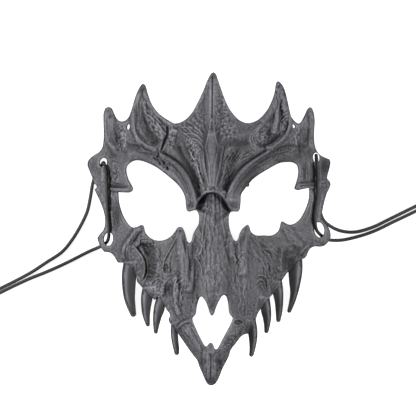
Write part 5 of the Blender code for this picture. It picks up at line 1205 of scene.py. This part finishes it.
def spread_out(points, apart, fixed):
    """The fixed points, and those of the others that are not too near an earlier one."""
    cells, kept = {}, [tuple(point) for point in fixed]
    for x, y in kept:
        cells.setdefault((math.floor(x / apart), math.floor(y / apart)), []).append((x, y))
    for x, y in points:
        column, row = math.floor(x / apart), math.floor(y / apart)
        around = [q for i in (-1, 0, 1) for j in (-1, 0, 1) for q in cells.get((column + i, row + j), ())]
        if all((x - q[0]) ** 2 + (y - q[1]) ** 2 >= apart**2 for q in around):
            cells.setdefault((column, row), []).append((x, y))
            kept.append((x, y))
    return np.array(kept)


def edge_counts(triangles):
    """(the edges of a flat set of triangles, how many triangles use each)."""
    ends = np.concatenate([triangles[:, [0, 1]], triangles[:, [1, 2]], triangles[:, [2, 0]]])
    return np.unique(np.sort(ends, axis=1), axis=0, return_counts=True)


def carving_guides(spacing):
    """Points along each crest, and along the top and the foot of each step, in front and behind."""
    made = [curve_through(values[0], spacing) for values in RIDGES.values()]
    for points, _, _ in SHELVES.values():
        line = curve_through(points, spacing)
        along = np.gradient(line, axis=0)
        along /= np.linalg.norm(along, axis=1)[:, None]
        made += [line + left_of(along) * offset for offset in (SHELF_STEP, 0, -SHELF_BACK_LEAD)]
    return np.vstack(made)


def flat_facets(outline, spacing, insets):
    """(points, triangles, which points are on the border) of the mask seen from the front.

    No inner edge joins two border points, so a front and a back on these facets meet at the border alone."""
    corners = np.vstack(outline.loops)
    edges, first = [], 0
    for loop in outline.loops:
        edges += [(first + k, first + (k + 1) % len(loop)) for k in range(len(loop))]
        first += len(loop)
    rings = [inset_points(outline.loops, inset) for inset in insets]
    field = np.vstack([*rings, lattice(outline.low, outline.high, spacing)])
    guides = outline.well_inside(carving_guides(spacing), insets)
    inner = spread_out(outline.well_inside(field, insets), 0.5 * spacing, guides)
    while True:
        points = [Vector(point) for point in np.vstack([corners, inner])]
        made = geometry.delaunay_2d_cdt(points, edges, [], 0, 1e-5, False)
        flat, triangles = np.array([tuple(point) for point in made[0]]), np.array(made[2])
        middles = flat[triangles].mean(axis=1)
        triangles = triangles[outline.in_mask(middles[:, 0], middles[:, 1])]
        ends, uses = edge_counts(triangles)
        on_border = np.zeros(len(flat), bool)
        on_border[ends[uses == 1]] = True
        chords = ends[(uses == 2) & on_border[ends].all(axis=1)]
        if not len(chords):
            return flat, triangles, on_border
        inner = np.vstack([inner, flat[chords].mean(axis=1)])


def mask_mesh(outline):
    """(points in metres, triangles) of the closed mask. Its front has finer facets than its back, and both
    meet at the border's own points."""
    points, triangles, first = [], [], 0
    for (spacing, insets), is_front in ((FRONT_FACETS, True), (BACK_FACETS, False)):
        flat, made, on_border = flat_facets(outline, spacing, insets)
        heights = mask_heights(outline, flat[:, 0], flat[:, 1], on_border)
        points.append(np.column_stack([flat, heights[0] if is_front else heights[1], on_border]))
        triangles.append((made if is_front else made[:, ::-1]) + first)
        first += len(flat)
    points, triangles = np.vstack(points), np.vstack(triangles)
    border = np.flatnonzero(points[:, 3] > 0)
    keys = np.round(points[border, :2], 3)
    _, earliest, same = np.unique(keys, axis=0, return_index=True, return_inverse=True)
    target = np.arange(len(points))
    target[border] = border[earliest[same.ravel()]]
    points[:, :2] = (points[:, :2] - outline.middle) * UNIT
    used, triangles = np.unique(target[triangles], return_inverse=True)
    return points[used, :3], triangles.reshape(-1, 3)


def cavity(points, triangles, turns):
    """How far each point stands out of its surroundings along Z, in millimetres: hollows are below zero."""
    edges, _ = edge_counts(triangles)
    smooth = points[:, 2].copy()
    count = np.bincount(edges.ravel(), minlength=len(points))
    for _ in range(turns):
        total = np.bincount(edges[:, 0], smooth[edges[:, 1]], len(points))
        total += np.bincount(edges[:, 1], smooth[edges[:, 0]], len(points))
        smooth = 0.5 * smooth + 0.5 * total / count
    return (points[:, 2] - smooth) * 1000


def build_mask(material):
    """The visible mask: the CAD model's own forms with fine facets and the finer carving."""
    outline = Outline(OUTLINE_TOLERANCE, LONGEST_EDGE)
    points, triangles = mask_mesh(outline)
    mesh = bpy.data.meshes.new("dragon_mask")
    mesh.from_pydata(points.tolist(), [], triangles.tolist())
    mesh.shade_smooth()
    x, y = (points[:, :2] / UNIT + outline.middle).T
    # The first three factors paint shade and light into the plastic's colour; grainy sets its grain.
    factors = {
        "stands_out_fine": cavity(points, triangles, 6),
        "stands_out_broad": cavity(points, triangles, 60),
        "painted_shade_and_light": painted_shade_and_light_at(x, y),
        "grainy": graininess(outline, x, y),
    }
    for name, values in factors.items():
        layer = mesh.attributes.new(name, "FLOAT", "POINT")
        layer.data.foreach_set("value", np.asarray(values, np.float32))
    mesh.materials.append(material)
    mask = add_object("dragon_mask", mesh)
    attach(mask, "root")
    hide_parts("mask")


def mixed(nodes, links, first, second, factor):
    """The product of two colour sockets, by a factor that is a number or a socket."""
    mix = nodes.new("ShaderNodeMix")
    mix.data_type = "RGBA"
    mix.blend_type = "MULTIPLY"
    for name, value in (("Factor", factor), ("A", first), ("B", second)):
        if hasattr(value, "links"):
            links.new(value, mix.inputs[name])
        else:
            mix.inputs[name].default_value = value
    return mix.outputs["Result"]


def ramp(nodes, links, source, low, high, low_colour, high_colour):
    """A colour ramp over a number from low to high."""
    spread = nodes.new("ShaderNodeMapRange")
    set_inputs(spread, From_Min=low, From_Max=high)
    links.new(source, spread.inputs["Value"])
    made = nodes.new("ShaderNodeValToRGB")
    made.color_ramp.elements[0].color = low_colour
    made.color_ramp.elements[1].color = high_colour
    links.new(spread.outputs["Result"], made.inputs["Fac"])
    return made.outputs["Color"]


def plastic_material():
    """Dark grey moulded plastic: painted shade in the hollows, crests lighter as rubbed wear and a painted
    highlight, shade and light painted in listed places, and a fine grain.
    """
    material, nodes, links, shader = new_material("moulded_plastic")
    where = nodes.new("ShaderNodeTexCoord").outputs["Object"]
    factors = {}
    for name in ("stands_out_fine", "stands_out_broad", "painted_shade_and_light", "grainy"):
        node = nodes.new("ShaderNodeAttribute")
        node.attribute_name = name
        factors[name] = node.outputs["Fac"]
    grains = {}
    for name, scale, detail in (("cloud", 60, 5), ("mottle", 640, 4), ("speck", 1500, 3)):
        node = nodes.new("ShaderNodeTexNoise")
        set_inputs(node, Scale=scale, Detail=detail)
        links.new(where, node.inputs["Vector"])
        grains[name] = node.outputs["Fac"]
    toned = ramp(nodes, links, grains["cloud"], 0.3, 0.7, (0.040, 0.040, 0.044, 1), (0.054, 0.054, 0.059, 1))
    # What tones the plastic, from its lowest to its highest value: the tone at each, and how strongly. The
    # two standing-out ramps paint shade into the hollows and light onto the raised places, on the fine crests
    # partly rubbed wear and partly a painted highlight; the third paints shade and light in listed places;
    # the mottle and speck are the plastic's own grain.
    for source, low, high, first, last, factor in (
        (factors["stands_out_broad"], -0.7, 0.6, 0.55, 1.25, 1.0),
        (factors["stands_out_fine"], -0.09, 0.12, 0.58, 2.0, 1.0),
        (factors["painted_shade_and_light"], -0.5, 0.8, 1.55, 0.14, 1.0),
        (grains["mottle"], 0.34, 0.66, 0.74, 1.34, factors["grainy"]),
        (grains["speck"], 0.3, 0.7, 0.87, 1.18, factors["grainy"]),
    ):
        step = ramp(nodes, links, source, low, high, (first, first, first, 1), (last, last, last * 1.01, 1))
        toned = mixed(nodes, links, toned, step, factor)
    links.new(toned, shader.inputs["Base Color"])
    rough = nodes.new("ShaderNodeMapRange")
    set_inputs(rough, From_Min=0.3, From_Max=0.7, To_Min=0.46, To_Max=0.60)
    links.new(grains["mottle"], rough.inputs["Value"])
    links.new(rough.outputs["Result"], shader.inputs["Roughness"])
    height = nodes.new("ShaderNodeMath")
    height.operation = "ADD"
    links.new(grains["mottle"], height.inputs[0])
    links.new(grains["speck"], height.inputs[1])
    bump = add_bump(nodes, links, height.outputs["Value"], shader, 0.0004)
    links.new(factors["grainy"], bump.inputs["Strength"])
    return material


def add_floor():
    """The white studio table that the mask lies on, which sends no light up to the mask."""
    material, _, _, shader = new_material("white_table")
    set_inputs(shader, Base_Color=(0.45, 0.45, 0.45, 1), Roughness=0.9, Specular_IOR_Level=0.1)
    set_inputs(shader, Emission_Color=(1, 1, 1, 1), Emission_Strength=0.88)
    half = 3.0
    corners = [(-half, -half, 0), (half, -half, 0), (half, half, 0), (-half, half, 0)]
    mesh = bpy.data.meshes.new("floor")
    mesh.from_pydata(corners, [], [(0, 1, 2, 3)])
    mesh.materials.append(material)
    floor = add_object("floor", mesh)
    floor.location.z = -0.0002
    floor.visible_diffuse = False
    floor.visible_glossy = False


def add_lights():
    """Soft boxes low on both sides, one past the crown, and a dim white room."""
    for name, where, size, power in (
        ("left soft box", (-1.3, 0.0, 0.70), 0.50, 31),
        ("right soft box", (1.3, 0.0, 0.70), 0.50, 24),
        ("crown soft box", (-0.1, 1.2, 1.1), 0.6, 5),
    ):
        data = bpy.data.lights.new(name, "AREA")
        data.shape = "DISK"
        data.size = size
        data.energy = power
        light = add_object(name, data)
        light.location = where
        light.rotation_euler = (-Vector(where)).to_track_quat("-Z", "Y").to_euler()
    world = bpy.data.worlds.new("room")
    world.use_nodes = True
    set_inputs(world.node_tree.nodes["Background"], Color=(1, 1, 1, 1), Strength=0.17)
    bpy.context.scene.world = world


build_mask(plastic_material())
add_floor()
add_lights()
bpy.context.scene.view_settings.view_transform = "Standard"
